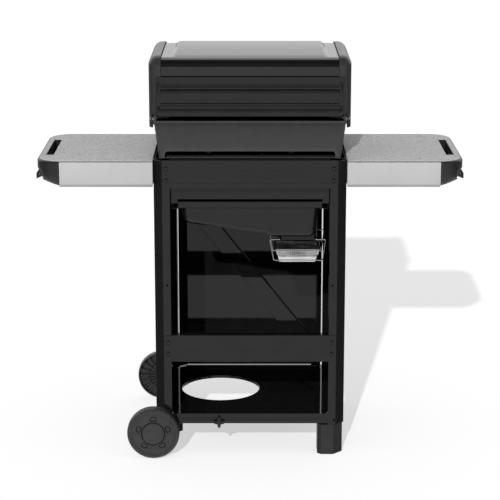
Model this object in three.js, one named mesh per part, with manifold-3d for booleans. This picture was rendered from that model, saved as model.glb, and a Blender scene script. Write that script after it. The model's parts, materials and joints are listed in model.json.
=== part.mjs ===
// Two-burner gas barbecue grill on an open-backed cart, as an assembly of separate pieces.
// Millimetres, +Z up. The front is at -Y, the rear at +Y, and +X is the user's right.
import * as THREE from 'three';
import { mergeVertices } from 'three/addons/utils/BufferGeometryUtils.js';
import Module from 'manifold-3d';

const wasm = await Module();
wasm.setup();

// ---------- driving dimensions ----------
const GAP = 0.3; // between touching pieces
const SHEET = 1.5; // usual sheet thickness

const CART = {
  half: 279.6, rear: 303.5, front: -206.5, post: 48, chamfer: 25.3, wall: 1.6, bottom: 94, top: 894,
};
const MID_Y = (CART.rear + CART.front) / 2;
const HALF_Y = (CART.rear - CART.front) / 2;
const POST_IN = CART.half - CART.post; // inner face of a post
const BEAM_HALF = CART.half - CART.chamfer - GAP; // a beam ends at the posts' chamfers

const UPPER_BEAM = { low: 814.6, high: 897.5, screwX: 242.3, screwZ: [838.2, 873.5], depth: 18 };
const MIDDLE_BEAM = { low: 291.2, high: 372.4, screwX: 240.8, screwZ: [314.7, 350.2], depth: 26 };
const BEAM_SHEET = 1.8;
const POST_HOLE = { x: 241.5, z: 524, r: 3 };
const FOOT_HOLE = { x: -249.6, z: 107.7, r: 3 }; // in the rear post that stands on a foot

const SHELF = { top: 118, half: 265, rail: 98, lip: 128.5, holeX: 91.4, holeY: 28.5, holeR: 122.5, rim: 8.5 };
const CLAMP = { x: 92, z: 104, rod: 3.5, knobR: 16.5, knobDepth: 14, hook: 136 };

const FOOT = { inner: 201, outer: 276, faceIn: 212.3, faceOut: 248.8, depth: 70, wall: 3 };
const BRACKET_LOW = 71; // lower edge of a wheel bracket
const WHEEL = { r: 77.6, x: 287.2, width: 32, offset: 6, axle: 6, bore: 6.3, hub: 33 };

const DOOR = {
  half: 228, low: 120.5, high: 784, skin: -202.8, back: -187, sheet: 1.2, pivotX: -220.5, pivotY: -195,
};
const BRACE = { x: -11, z: 410, angle: 51.7, up: 300, down: 281, width: 57, depth: 13 };
const CROSSBAR = { low: 786.5, high: 812 };

const TABLE = {
  inner: 280.9, metal: 549.5, outer: 611.5, end: 617, rear: 303.5, front: -119.5, top: 896,
  fascia: 826, low: 816, round: 62, corner: 54, plate: 1.4, capLow: 820.5, capRise: 0.31,
  slotIn: 574, slotOut: 596.5, slotRear: 214, slotFront: -32, hook: 622.5,
};

const BOX = {
  halfTop: 275.5, halfLow: 262, rearTop: 283.5, rearLow: 281, frontTop: -200, frontLow: -190,
  low: 898, rim: 1001, top: 1008, flange: 2.5, wall: 3,
  sumpHalf: 222, sumpRear: 246, sumpFront: -150, sumpLow: 800, cutHalf: 246, cutTop: 919,
};
const BURNER = { x: 120, z: 918, r: 11, wall: 1.5, rear: 262 };
const GRATE_Z = 985;

const LID = {
  rear: 252, top: 1184, bandLow: 1133, corner: 23, flatFront: -36.5, noseY: -214, noseZ: 1120, frontY: -230,
  low: 990, half: 256.2, capIn: 256.5, capOut: 292.5, capTop: 1189.5, capLow: 982.5, capRound: 26, capWall: 3,
  pivotY: 262, pivotZ: 1012, skirtIn: 281.5,
};
const BACK = { half: 271, low: 1014.7, high: 1131, beads: [1050.3, 1098.5], beadHalf: 259, beadWidth: 7 };
const HANDLE = { half: 200, y: -330.5, z: 1026, r: 11, armX: 150 };
const DIAL = { r: 26, depth: 12, z: 1084, cold: (3 * Math.PI) / 4 }; // cold: the needle's angle from upright

const PANEL = { half: 279, rear: -206.8, top: 942, edge: -262, front: -296.5, low: 800, sheet: 1.5 };
const KNOB = { x: 120, r: 24, height: 26, lift: 5, stem: 3 };

const SURROUND = { rear: 272, half: 230.3, low: 763, high: 880, openHalf: 210.4, openTop: 775.5 };
const TRAY = {
  half: 209.6, flange: 749.5, lipTop: 768.6, rear: 268, front: -120, round: 15, sheet: 1.5,
  left: -187, right: 185, shallow: 716, knee: 683, deep: 675,
};
const PAN = { x: -140.6, y: 195, halfX: 70.5, halfY: 54, rim: 621, low: 576 };
const WIRE = 1.8;

// ---------- materials ----------
const paint = (color, roughness, metalness) => new THREE.MeshStandardMaterial({ color, roughness, metalness });
const BLACK_PAINT = paint(0x17181a, 0.4, 0.3);
const ENAMEL = paint(0x0e0f10, 0.2, 0.2);
const CAST_BLACK = paint(0x1a1a1b, 0.5, 0.3);
const GREY_METAL = paint(0xa8a9a9, 0.45, 0.7);
const BLACK_PLASTIC = paint(0x151515, 0.55, 0);
const STAINLESS = paint(0xb9babb, 0.3, 1);
const BRASS = paint(0xb08d4a, 0.35, 1);
const ALUMINIUM = paint(0xd8d9da, 0.35, 1);
const CHROME = paint(0xc8c9ca, 0.15, 1);
const CAST_IRON = paint(0x1b1b1b, 0.7, 0.2);
const DIAL_WHITE = paint(0xe6e6e2, 0.4, 0.1);

// ---------- geometry helpers ----------
function toSolid(geometry) {
  const bare = geometry.clone();
  bare.deleteAttribute('normal');
  bare.deleteAttribute('uv');
  const merged = mergeVertices(bare, 1e-4);
  return new wasm.Manifold(new wasm.Mesh({
    numProp: 3,
    vertProperties: new Float32Array(merged.attributes.position.array),
    triVerts: new Uint32Array(merged.index.array),
  }));
}

function toGeometry(solid) {
  const mesh = solid.getMesh();
  const geometry = new THREE.BufferGeometry();
  geometry.setAttribute('position', new THREE.BufferAttribute(mesh.vertProperties, 3));
  geometry.setIndex(new THREE.BufferAttribute(mesh.triVerts, 1));
  geometry.computeVertexNormals();
  return geometry;
}

function join(first, ...rest) {
  return toGeometry(rest.reduce((sum, part) => sum.add(toSolid(part)), toSolid(first)));
}

function cut(body, ...tools) {
  return toGeometry(tools.reduce((left, tool) => left.subtract(toSolid(tool)), toSolid(body)));
}

function common(body, limit) {
  return toGeometry(toSolid(body).intersect(toSolid(limit)));
}

function block(x0, x1, y0, y1, z0, z1) {
  const geometry = new THREE.BoxGeometry(Math.abs(x1 - x0), Math.abs(y1 - y0), Math.abs(z1 - z0));
  return geometry.translate((x0 + x1) / 2, (y0 + y1) / 2, (z0 + z1) / 2);
}

// A solid between two rectangles [x0, x1, y0, y1] at the heights z0 and z1.
function tapered(lowRect, z0, highRect, z1) {
  const geometry = new THREE.BoxGeometry(1, 1, 1);
  const position = geometry.attributes.position;
  for (let i = 0; i < position.count; i += 1) {
    const rect = position.getZ(i) < 0 ? lowRect : highRect;
    const x = position.getX(i) < 0 ? rect[0] : rect[1];
    const y = position.getY(i) < 0 ? rect[2] : rect[3];
    position.setXYZ(i, x, y, position.getZ(i) < 0 ? z0 : z1);
  }
  return geometry;
}

// Turns a solid that was made along +Z so that it runs along X, Y or Z.
// Along X the outline's (u, v) becomes (y, z); along Y it becomes (x, z).
function layAlong(geometry, axis) {
  if (axis === 'x') {
    const cycle = new THREE.Matrix4().makeBasis(
      new THREE.Vector3(0, 1, 0), new THREE.Vector3(0, 0, 1), new THREE.Vector3(1, 0, 0));
    return geometry.applyMatrix4(cycle);
  }
  return axis === 'y' ? geometry.rotateX(Math.PI / 2) : geometry;
}

// A rod along an axis from one end to the other; (a, b) are its two other coordinates, in X, Y, Z order.
function rod(axis, r, from, to, a, b, sides = 16) {
  const geometry = new THREE.CylinderGeometry(r, r, to - from, sides);
  const middle = (from + to) / 2;
  if (axis === 'x') return geometry.rotateZ(Math.PI / 2).translate(middle, a, b);
  if (axis === 'y') return geometry.translate(a, middle, b);
  return geometry.rotateX(Math.PI / 2).translate(a, b, middle);
}

// Corner points [u, v, radius] become an outline; a corner with a radius becomes an arc.
function rounded(corners, stepDegrees = 18) {
  const points = [];
  corners.forEach(([u, v, radius = 0], i) => {
    const corner = new THREE.Vector2(u, v);
    if (radius === 0) {
      points.push(corner);
      return;
    }
    const before = corners[(i + corners.length - 1) % corners.length];
    const after = corners[(i + 1) % corners.length];
    const toBefore = new THREE.Vector2(before[0], before[1]).sub(corner).normalize();
    const toAfter = new THREE.Vector2(after[0], after[1]).sub(corner).normalize();
    const half = Math.acos(THREE.MathUtils.clamp(toBefore.dot(toAfter), -1, 1)) / 2;
    const middle = toBefore.clone().add(toAfter).normalize();
    const centre = corner.clone().add(middle.multiplyScalar(radius / Math.sin(half)));
    const start = corner.clone().add(toBefore.multiplyScalar(radius / Math.tan(half)));
    const sweep = Math.PI - 2 * half;
    const turn = Math.sign(toAfter.cross(toBefore)) || 1;
    const steps = Math.max(1, Math.round(THREE.MathUtils.radToDeg(sweep) / stepDegrees));
    for (let k = 0; k <= steps; k += 1) {
      points.push(start.clone().rotateAround(centre, (turn * sweep * k) / steps));
    }
  });
  return points;
}

// A copy of the outline that runs anticlockwise, which an extrusion with holes needs.
const forwards = (outline) => (THREE.ShapeUtils.isClockWise(outline) ? [...outline].reverse() : outline);

function prism(axis, outline, from, to, holes = []) {
  const shape = new THREE.Shape(forwards(outline));
  holes.forEach((hole) => shape.holes.push(new THREE.Path(hole)));
  const geometry = layAlong(new THREE.ExtrudeGeometry(shape, { depth: to - from, bevelEnabled: false }), axis);
  if (axis === 'x') return geometry.translate(from, 0, 0);
  return axis === 'y' ? geometry.translate(0, to, 0) : geometry.translate(0, 0, from);
}

// Like prism, but both ends shrink towards the outline's middle with a round of the given radius.
function pillow(axis, outline, from, to, round, segments = 4) {
  const geometry = layAlong(new THREE.ExtrudeGeometry(new THREE.Shape(forwards(outline)), {
    depth: to - from - 2 * round,
    bevelEnabled: true,
    bevelThickness: round,
    bevelSize: round,
    bevelOffset: -round,
    bevelSegments: segments,
  }), axis);
  if (axis === 'x') return geometry.translate(from + round, 0, 0);
  return geometry.translate(0, to - round, 0);
}

const vectors = (pairs) => pairs.map(([u, v]) => new THREE.Vector2(u, v));
const mirrored = (outline, side) => outline.map((p) => new THREE.Vector2(side * p.x, p.y));

// A convex or gently bent outline moved inwards by a distance.
function inset(outline, distance) {
  const turn = THREE.ShapeUtils.isClockWise(outline) ? -1 : 1;
  return outline.map((p, i) => {
    const before = outline[(i + outline.length - 1) % outline.length];
    const after = outline[(i + 1) % outline.length];
    const a = p.clone().sub(before).normalize();
    const b = after.clone().sub(p).normalize();
    const normal = new THREE.Vector2(-(a.y + b.y), a.x + b.x).normalize();
    const reach = distance / Math.max(0.5, Math.sqrt((1 + a.dot(b)) / 2));
    return p.clone().add(normal.multiplyScalar(turn * reach));
  });
}

// The outline of a bent sheet: an open path given a thickness on its left side.
function bentSheet(path, thickness) {
  const other = path.map((p, i) => {
    const before = path[Math.max(0, i - 1)];
    const after = path[Math.min(path.length - 1, i + 1)];
    const a = i > 0 ? p.clone().sub(before).normalize() : after.clone().sub(p).normalize();
    const b = i < path.length - 1 ? after.clone().sub(p).normalize() : a;
    const normal = new THREE.Vector2(-(a.y + b.y), a.x + b.x).normalize();
    return p.clone().add(normal.multiplyScalar(thickness / Math.sqrt((1 + a.dot(b)) / 2)));
  });
  return [...path, ...other.reverse()];
}

const circle = (r, sides, u = 0, v = 0) => Array.from({ length: sides }, (_, i) => {
  const angle = (2 * Math.PI * i) / sides;
  return new THREE.Vector2(u + r * Math.cos(angle), v + r * Math.sin(angle));
});

// A wire or tube through 3-D points, with straight runs between them.
function wire(points, r, sides = 6) {
  const path = new THREE.CurvePath();
  const places = points.map((p) => new THREE.Vector3(...p));
  for (let i = 1; i < places.length; i += 1) path.add(new THREE.LineCurve3(places[i - 1], places[i]));
  const shape = new THREE.Shape(circle(r, sides));
  const runs = path.curves.map((curve) => new THREE.ExtrudeGeometry(shape, { steps: 1, extrudePath: curve }));
  const knuckles = places.slice(1, -1).map(
    (p) => new THREE.SphereGeometry(r, sides, 4).translate(p.x, p.y, p.z));
  return runs.length === 1 ? runs[0] : join(runs[0], ...runs.slice(1), ...knuckles);
}

function pipe(points, r, wall, steps, sides = 10) {
  const shape = new THREE.Shape(circle(r, sides));
  shape.holes.push(new THREE.Path(circle(r - wall, sides)));
  const places = points.map((p) => new THREE.Vector3(...p));
  const extrudePath = new THREE.CatmullRomCurve3(places, false, 'centripetal');
  return new THREE.ExtrudeGeometry(shape, { steps, extrudePath });
}

function lathe(profile, segments) {
  return new THREE.LatheGeometry(vectors(profile), segments).rotateX(Math.PI / 2);
}

// ---------- the object ----------
const grill = new THREE.Group();

function add(name, geometry, material, parent = grill) {
  const mesh = new THREE.Mesh(geometry, material);
  mesh.name = name;
  parent.add(mesh);
  return mesh;
}

const SIDES = [['left', -1], ['right', 1]];
const ENDS = [['front', -1], ['rear', 1]];

function addPosts() {
  for (const [end, toRear] of ENDS) {
    for (const [side, toRight] of SIDES) {
      const y = (distance) => MID_Y + toRear * distance;
      const outline = vectors([
        [toRight * POST_IN, y(HALF_Y - CART.post)],
        [toRight * CART.half, y(HALF_Y - CART.post)],
        [toRight * CART.half, y(HALF_Y - CART.chamfer)],
        [toRight * (CART.half - CART.chamfer), y(HALF_Y)],
        [toRight * POST_IN, y(HALF_Y)],
      ]);
      const tube = prism('z', outline, CART.bottom, CART.top, [inset(outline, CART.wall)]);
      const hole = rod('y', POST_HOLE.r, y(HALF_Y) - 5, y(HALF_Y) + 5, toRight * POST_HOLE.x, POST_HOLE.z, 12);
      const footHole = rod('y', FOOT_HOLE.r, CART.rear - 5, CART.rear + 5, FOOT_HOLE.x, FOOT_HOLE.z, 12);
      add(`${end}_${side}_post`, cut(tube, hole, footHole), BLACK_PAINT);
    }
  }
}

function addSidePanels() {
  const rear = MID_Y + HALF_Y - CART.post - GAP;
  const front = MID_Y - HALF_Y + CART.post + GAP;
  const x = CART.half - 2;
  const path = vectors([[x - 12, rear], [x, rear], [x, front], [x - 12, front]]);
  for (const [side, toRight] of SIDES) {
    const outline = mirrored(bentSheet(path, -1.2), toRight);
    add(`${side}_side_panel`, prism('z', outline, 101, 890), BLACK_PAINT);
  }
}

function beam({ low, high, screwX, screwZ, depth }) {
  const rear = CART.rear + GAP + BEAM_SHEET;
  const inner = POST_IN - GAP;
  const parts = [
    block(-inner, inner, CART.rear - depth, rear - 0.2, high - SHEET, high),
    block(-inner, inner, CART.rear - depth, rear - 0.2, low, low + SHEET),
  ];
  for (const z of screwZ) {
    for (const x of [-screwX, screwX]) parts.push(rod('y', 4.2, rear - 0.5, rear + 2, x, z, 12));
  }
  return join(block(-BEAM_HALF, BEAM_HALF, CART.rear + GAP, rear, low, high), ...parts);
}

function addCrossbar() {
  const inner = POST_IN - GAP;
  const { low, high } = CROSSBAR;
  const front = CART.front;
  add('front_crossbar', join(
    block(-inner, inner, front, front + SHEET, low, high),
    block(-inner, inner, front, front + 22, high - SHEET, high),
    block(-inner, inner, front, front + 22, low, low + SHEET),
  ), BLACK_PAINT);
}

function addShelf() {
  const inner = POST_IN - GAP;
  const rearStep = MID_Y + HALF_Y - CART.post - GAP;
  const frontStep = MID_Y - HALF_Y + CART.post + GAP;
  const { top, half, rail, lip, holeX, holeY, holeR, rim } = SHELF;
  const quarter = [
    [inner, CART.rear], [inner, rearStep], [half, rearStep],
    [half, frontStep], [inner, frontStep], [inner, CART.front],
  ];
  const outline = vectors([...quarter, ...quarter.map(([x, y]) => [-x, y]).reverse()]);
  const underDoor = rounded([[-211, -201.3], [207, -201.3], [207, -193], [-211, -193]]);
  const plate = prism('z', outline, top - SHEET, top, [circle(holeR, 36, holeX, holeY), underDoor]);
  const collar = prism('z', circle(holeR + 0.2, 36, holeX, holeY), top - rim, top - 0.2,
    [circle(holeR - SHEET, 36, holeX, holeY)]);
  const rearRail = cut(
    block(-inner, inner, CART.rear - SHEET, CART.rear, rail, lip),
    rod('y', CLAMP.rod + 0.6, CART.rear - 5, CART.rear + 5, CLAMP.x, CLAMP.z, 12),
    block(-205, 205, CART.rear - 0.5, CART.rear + 1, 107.5, 112.5),
  );
  const frontRail = block(-inner, inner, CART.front, CART.front + SHEET, rail, top);
  add('bottom_shelf', join(plate, collar, rearRail, frontRail), BLACK_PAINT);
}

// The plan of a foot or a wheel bracket under a post; side and end are -1 or 1.
function footPlan(side, toRear) {
  const { inner, outer, faceIn, faceOut, depth } = FOOT;
  return vectors([
    [inner, HALF_Y - depth], [outer, HALF_Y - depth], [outer, HALF_Y - (outer - faceOut)],
    [faceOut, HALF_Y], [faceIn, HALF_Y], [inner, HALF_Y - (faceIn - inner)],
  ].map(([x, y]) => [side * x, MID_Y + toRear * y]));
}

function addFeetAndWheels() {
  for (const [end, toRear] of ENDS) {
    const foot = footPlan(-1, toRear);
    add(`${end}_foot`, cut(
      prism('z', foot, 0, CART.bottom - GAP),
      prism('z', inset(foot, FOOT.wall), 4, CART.bottom + 1),
    ), BLACK_PLASTIC);

    const y = (distance) => MID_Y + toRear * distance;
    const span = (a, b) => [Math.min(y(a), y(b)), Math.max(y(a), y(b))];
    const plan = footPlan(1, toRear);
    const ear = prism('y', rounded([
      [240, BRACKET_LOW], [240, 93], [WHEEL.x, 93.6], [303, 93.6, 14], [303, 62, 14], [WHEEL.x - 8, 62],
    ]), ...span(HALF_Y - 6, HALF_Y));
    add(`${end}_wheel_bracket`, cut(
      join(cut(prism('z', plan, BRACKET_LOW, CART.bottom - GAP), prism('z', inset(plan, 3), 60, 90)), ear),
      rod('y', WHEEL.axle + GAP, ...span(HALF_Y - 12, HALF_Y + 5), WHEEL.x, WHEEL.r),
    ), BLACK_PAINT);
    const inner = HALF_Y + WHEEL.offset;
    add(`${end}_axle`, join(
      rod('y', WHEEL.axle, ...span(HALF_Y - 10, inner + WHEEL.width - 5), WHEEL.x, WHEEL.r),
      rod('y', 9, ...span(inner + WHEEL.width - 8, inner + WHEEL.width - 5), WHEEL.x, WHEEL.r, 6),
    ), STAINLESS);
    add(`${end}_wheel`, wheelGeometry(toRear), BLACK_PLASTIC);
    const capR = WHEEL.hub - 0.5;
    const cap = lathe([[0, 0], [capR, 0], [capR, 2.6], [capR - 2.5, 4.4], [0, 4.4]], 24);
    cap.rotateX(-toRear * Math.PI / 2).translate(WHEEL.x, y(inner + WHEEL.width - 4.4), WHEEL.r);
    add(`${end}_hub_cap`, cap, BLACK_PLASTIC);
  }
}

// A moulded wheel, hollow on its inner side; its outer face points away from the cart.
function wheelGeometry(toRear) {
  const { r, width, bore, hub } = WHEEL;
  const profile = [
    [bore, 0], [15, 0], [15, 18], [r - 14, 18], [r - 12, 0], [r - 3, 0], [r, 3],
    [r, width - 4], [r - 4, width - 1], [r - 10, width], [r - 11, width - 1.5], [hub + 2, width - 1.5],
    [hub, width - 4.7], [10, width - 4.7], [10, width - 9], [bore, width - 9], [bore, 0],
  ];
  const body = lathe(profile, 30);
  return body.rotateX(-toRear * Math.PI / 2).translate(WHEEL.x, MID_Y + toRear * (HALF_Y + WHEEL.offset), r);
}

function addTankClamp() {
  const { x, z, rod: r, knobR, knobDepth, hook } = CLAMP;
  const start = CART.rear + 2 * GAP;
  const star = Array.from({ length: 32 }, (_, i) => {
    const angle = (2 * Math.PI * i) / 32;
    const reach = knobR * (0.74 + 0.26 * Math.cos(4 * angle));
    return new THREE.Vector2(x + reach * Math.sin(angle), z + reach * Math.cos(angle));
  });
  add('tank_clamp_knob', cut(
    prism('y', star, start, start + knobDepth),
    rod('y', r + 0.3, start - 1, start + knobDepth + 1, x, z, 12),
  ), BLACK_PLASTIC);
  add('tank_clamp_hook', join(
    rod('y', r, hook + 1, start + knobDepth - 4, x, z, 12),
    block(x - 12, x + 12, hook, hook + 3, z - 6, z + 8),
  ), STAINLESS);
}

// ---------- side tables ----------
function addTables() {
  const { inner, metal, outer, end, rear, front, top, fascia, low, corner, plate, capLow, capRise } = TABLE;
  const lip = 14; // width of the rolled lower edge
  const section = vectors([
    [rear - lip, low], [rear - 3.5, low], [rear - 1.2, fascia - 4], [rear, fascia], [rear, top],
    [front, top], [front, fascia], [front + 1.2, fascia - 4], [front + 3.5, low], [front + lip, low],
  ]);
  const slot = block(TABLE.slotIn, TABLE.slotOut, TABLE.slotFront, TABLE.slotRear, 780, top + 5);
  const topPlan = rounded([
    [metal - 5, rear], [outer, rear, TABLE.round], [outer, front, TABLE.round], [metal - 5, front],
  ], 15);
  const capPlan = rounded([
    [metal + GAP, rear - 0.4], [end, rear - 0.4, corner],
    [end, front + 0.4, corner], [metal + GAP, front + 0.4],
  ], 15);
  const capRoof = top - plate - GAP;
  const hollowPlan = rounded([
    [metal - 8, rear - 3.4], [end - 3, rear - 3.4, corner - 3], [end - 3, front + 3.4, corner - 3],
    [metal - 8, front + 3.4],
  ], 15);
  const capEnd = end + 8; // past the end wall, so that the cut goes right through it
  const underside = vectors([
    [metal - 5, 780], [metal - 5, capLow], [metal, capLow],
    [capEnd, capLow + capRise * (capEnd - metal)], [capEnd, 780],
  ]);
  for (const [side, toRight] of SIDES) {
    const place = (geometry) => (toRight > 0 ? geometry : mirrorX(geometry));
    const tray = join(
      prism('x', bentSheet(section, plate), inner, metal),
      prism('z', topPlan, top - plate, top),
      block(inner, inner + SHEET, front + 0.5, rear - 0.5, low + 4, top - 0.2),
    );
    add(`${side}_table`, place(cut(tray, slot)), GREY_METAL);
    const shell = cut(
      prism('z', capPlan, 800, capRoof),
      prism('z', hollowPlan, 790, capRoof - 2.5),
      prism('y', underside, front - 5, rear + 5),
    );
    const well = block(
      TABLE.slotIn - 2, TABLE.slotOut + 2, TABLE.slotFront - 2, TABLE.slotRear + 2, 866, capRoof - 0.5);
    const hookRail = prism('y', vectors([
      [end - 5, 838], [end + 1, 832.5], [TABLE.hook, 830.5], [TABLE.hook, 848], [end + 2, 848], [end + 2, 842],
      [end - 5, 846],
    ]), front + 60, rear - 60);
    add(`${side}_table_end_cap`, place(cut(join(shell, well, hookRail), slot)), BLACK_PLASTIC);
  }
}

function mirrorX(geometry) {
  return toGeometry(toSolid(geometry).mirror([1, 0, 0]));
}

// ---------- the sloping control panel's own frame: x across, y up the slope, z out of it ----------
const panelY = (PANEL.edge + PANEL.front) / 2;
const panelZ = (PANEL.top + PANEL.low) / 2;
const JET_DEPTH = -30; // of a valve's outlet behind the panel
const slopeY = PANEL.front - PANEL.edge;
const slopeZ = PANEL.top - PANEL.low;
const SLOPE = Math.atan2(-slopeY, slopeZ);

// The object's (y, z) of a point up the slope and out of the panel.
const onPanel = (up, out) => [
  panelY + up * Math.sin(SLOPE) - out * Math.cos(SLOPE), panelZ + up * Math.cos(SLOPE) + out * Math.sin(SLOPE),
];

function panelGroup(x) {
  const group = new THREE.Group();
  group.position.set(x, panelY, panelZ);
  group.rotation.x = Math.PI / 2 - SLOPE;
  grill.add(group);
  return group;
}

// ---------- cookbox and burners ----------
function addCookbox() {
  const { halfTop, halfLow, rearTop, rearLow, frontTop, frontLow, low, rim, top, flange, wall } = BOX;
  const rectLow = (d) => [-halfLow + d, halfLow - d, frontLow + d, rearLow - d];
  const rectTop = (d) => [-halfTop + d, halfTop - d, frontTop + d, rearTop - d];
  const sump = (d, z0, z1) => tapered(
    [-150 + d, 150 - d, -60 + d, 180 - d], z0,
    [-BOX.sumpHalf + d, BOX.sumpHalf - d, BOX.sumpFront + d, BOX.sumpRear - d], z1);
  const outer = join(
    tapered(rectLow(0), low, rectTop(0), rim),
    block(-halfTop - flange, halfTop + flange, frontTop - flange, rearTop + flange, rim - 0.5, top),
    sump(0, BOX.sumpLow, low + 1),
  );
  const ledges = [
    block(-halfLow, halfLow, rearLow - 14, rearLow - 1, 934.5, 937.5),
    block(-halfLow, halfLow, frontLow - 1, frontLow + 12, 934.5, 937.5),
    block(-halfTop + 2, halfTop - 2, rearTop - 14, rearTop - 1, GRATE_Z - 3.5, GRATE_Z - GAP),
    block(-halfTop + 2, halfTop - 2, frontTop + 1, frontTop + 14, GRATE_Z - 3.5, GRATE_Z - GAP),
  ];
  const rearCut = prism('y', rounded([
    [-BOX.cutHalf, low - 5], [BOX.cutHalf, low - 5],
    [BOX.cutHalf, BOX.cutTop, 9], [-BOX.cutHalf, BOX.cutTop, 9],
  ], 30), rearLow - 6, rearLow + 10);
  const burnerHoles = [-BURNER.x, BURNER.x].map(
    (x) => rod('y', BURNER.r + 2, frontTop - 5, frontLow + 10, x, BURNER.z));
  const hollow = cut(outer,
    tapered(rectLow(wall), low + wall, rectTop(wall), rim + 0.1),
    block(-halfTop + wall, halfTop - wall, frontTop + wall, rearTop - wall, rim, top + 5),
    sump(wall, BOX.sumpLow + 3, low + wall + 2),
    block(-90, 90, 0, 120, BOX.sumpLow - 5, BOX.sumpLow + 10));
  const lugs = [-1, 1].map((s) => prism('x', rounded([
    [LID.pivotY - 8, top - 1], [LID.pivotY + 10, top - 1], [LID.pivotY + 8, LID.pivotZ + 8, 7],
    [LID.pivotY - 8, LID.pivotZ + 8, 7],
  ], 30), s > 0 ? 270 : -276, s > 0 ? 276 : -270));
  const pinHole = rod('x', 4.3, -300, 300, LID.pivotY, LID.pivotZ, 12);
  const box = cut(join(hollow, ...ledges, ...lugs), rearCut, pinHole, ...burnerHoles);
  add('cookbox', box, CAST_BLACK);
  for (const [side, toRight] of SIDES) {
    const [x0, x1] = toRight > 0 ? [267, 288] : [-288, -267];
    add(`${side}_lid_pin`, rod('x', 4, x0, x1, LID.pivotY, LID.pivotZ, 12), STAINLESS);
  }
}

function addFire() {
  const { x, z, r, wall, rear } = BURNER;
  for (const [side, toRight] of SIDES) {
    const at = toRight * x;
    const route = [
      [at, rear, z], [at, 60, z], [at, -185, z], [at, -207, z - 1], [at, -226, z - 9],
      [at, ...onPanel(34, JET_DEPTH)], [at, ...onPanel(17, JET_DEPTH)],
    ];
    add(`${side}_burner`, pipe(route, r, wall, 11), STAINLESS);
    const ridge = vectors([[at - 40, 939.4], [at, 967], [at + 40, 939.4]]);
    add(`${side}_flame_tamer`, prism('y', bentSheet(ridge, -1.4), -186, 275), STAINLESS);
    add(`${side}_grate`, grateGeometry(toRight), CAST_IRON);
  }
  const rackZ = 1075;
  const rails = [130, 150, 170, 190, 210, 228].map((y) => wire([[-236, y, rackZ], [236, y, rackZ]], 2.2, 5));
  const ends = [-236, 236].map((at) => wire([
    [at, 130, BOX.top + 1], [at, 130, rackZ], [at, 228, rackZ], [at, 228, BOX.top + 1]], 2.5, 6));
  const feet = [-1, 1].map((s) => block(s * 233.5, s * 274, 126, 232, BOX.top + GAP, BOX.top + 2.3));
  add('warming_rack', join(ends[0], ends[1], ...rails, ...feet), CHROME);
}

function grateGeometry(toRight) {
  const [front, rear] = [-194, 277];
  const [near, far] = [1.5, 268];
  const height = 9;
  const top = GRATE_Z + height;
  const bars = Array.from({ length: 10 }, (_, i) => {
    const x = near + 3 + (i * (far - near - 6)) / 9;
    return block(toRight * (x - 3), toRight * (x + 3), front, rear, GRATE_Z, top);
  });
  const ties = [front, (front + rear - 8) / 2, rear - 8].map((y) => block(
    toRight * near, toRight * far, y, y + 8, GRATE_Z, top - 1.5));
  return join(bars[0], ...bars.slice(1), ...ties);
}

// ---------- gas controls ----------
function addControls() {
  const outer = vectors([
    [PANEL.rear, PANEL.top], [PANEL.edge, PANEL.top], [PANEL.front, PANEL.low],
    [PANEL.front + 6, PANEL.low - 8], [PANEL.front + 26, PANEL.low - 8],
  ]);
  const skin = prism('x', bentSheet(outer, PANEL.sheet), -PANEL.half, PANEL.half);
  const end = vectors([
    [PANEL.rear, PANEL.top - 0.2], [PANEL.edge, PANEL.top - 0.2], [PANEL.front + 0.4, PANEL.low],
    [PANEL.front + 6.4, PANEL.low - 7.8], [PANEL.rear, PANEL.low - 7.8],
  ]);
  const ends = [-PANEL.half, PANEL.half - 2].map((x) => prism('x', end, x, x + 2));
  const holes = [[-KNOB.x, 7], [0, 9.6], [KNOB.x, 7]].map(([x, r]) => {
    const hole = new THREE.CylinderGeometry(r, r, 20, 16).rotateX(Math.PI / 2 + Math.PI / 2 - SLOPE);
    return hole.translate(x, panelY, panelZ);
  });
  add('control_panel', cut(join(skin, ...ends), ...holes), BLACK_PAINT);

  for (const [side, toRight] of SIDES) {
    const group = panelGroup(toRight * KNOB.x);
    const body = block(-12, 12, -13, 13, -44, -14);
    const outlet = rod('y', 4, 12, 26, 0, JET_DEPTH, 12);
    const bores = [rod('z', 7.3, -42, -22, 0, 0), rod('z', 3.6, -50, 0, 0, 0)];
    add(`${side}_valve`, cut(join(body, outlet), ...bores), BRASS, group);
    add(`${side}_valve_rotor`, cut(rod('z', 7, -41.7, -22.4, 0, 0), rod('z', 3.3, -36, 0, 0, 0)), BRASS, group);
    const { r, height, lift, stem } = KNOB;
    const dome = lathe([
      [0, lift], [r, lift], [r, lift + 3], [r - 3, lift + 6], [r - 7, lift + 8], [r - 8.5, lift + height - 2],
      [r - 11, lift + height], [0, lift + height],
    ], 24);
    const grip = block(-3.5, 3.5, 0, r - 1, lift + 4, lift + height - 1);
    add(`${side}_knob`, join(dome, grip, rod('z', stem, -30, lift + 2, 0, 0)), BLACK_PLASTIC, group);
  }
  const centre = panelGroup(0);
  add('igniter_button', lathe([[0, -14], [9, -14], [9, 6], [7.5, 8], [0, 8.6]], 24), BLACK_PLASTIC, centre);
  const [pipeY, pipeZ] = onPanel(0, -53);
  add('gas_manifold', join(
    rod('x', 7.5, -150, 190, pipeY, pipeZ),
    rod('x', 10.5, 188, 206, pipeY, pipeZ, 6),
  ), ALUMINIUM);
}

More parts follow.
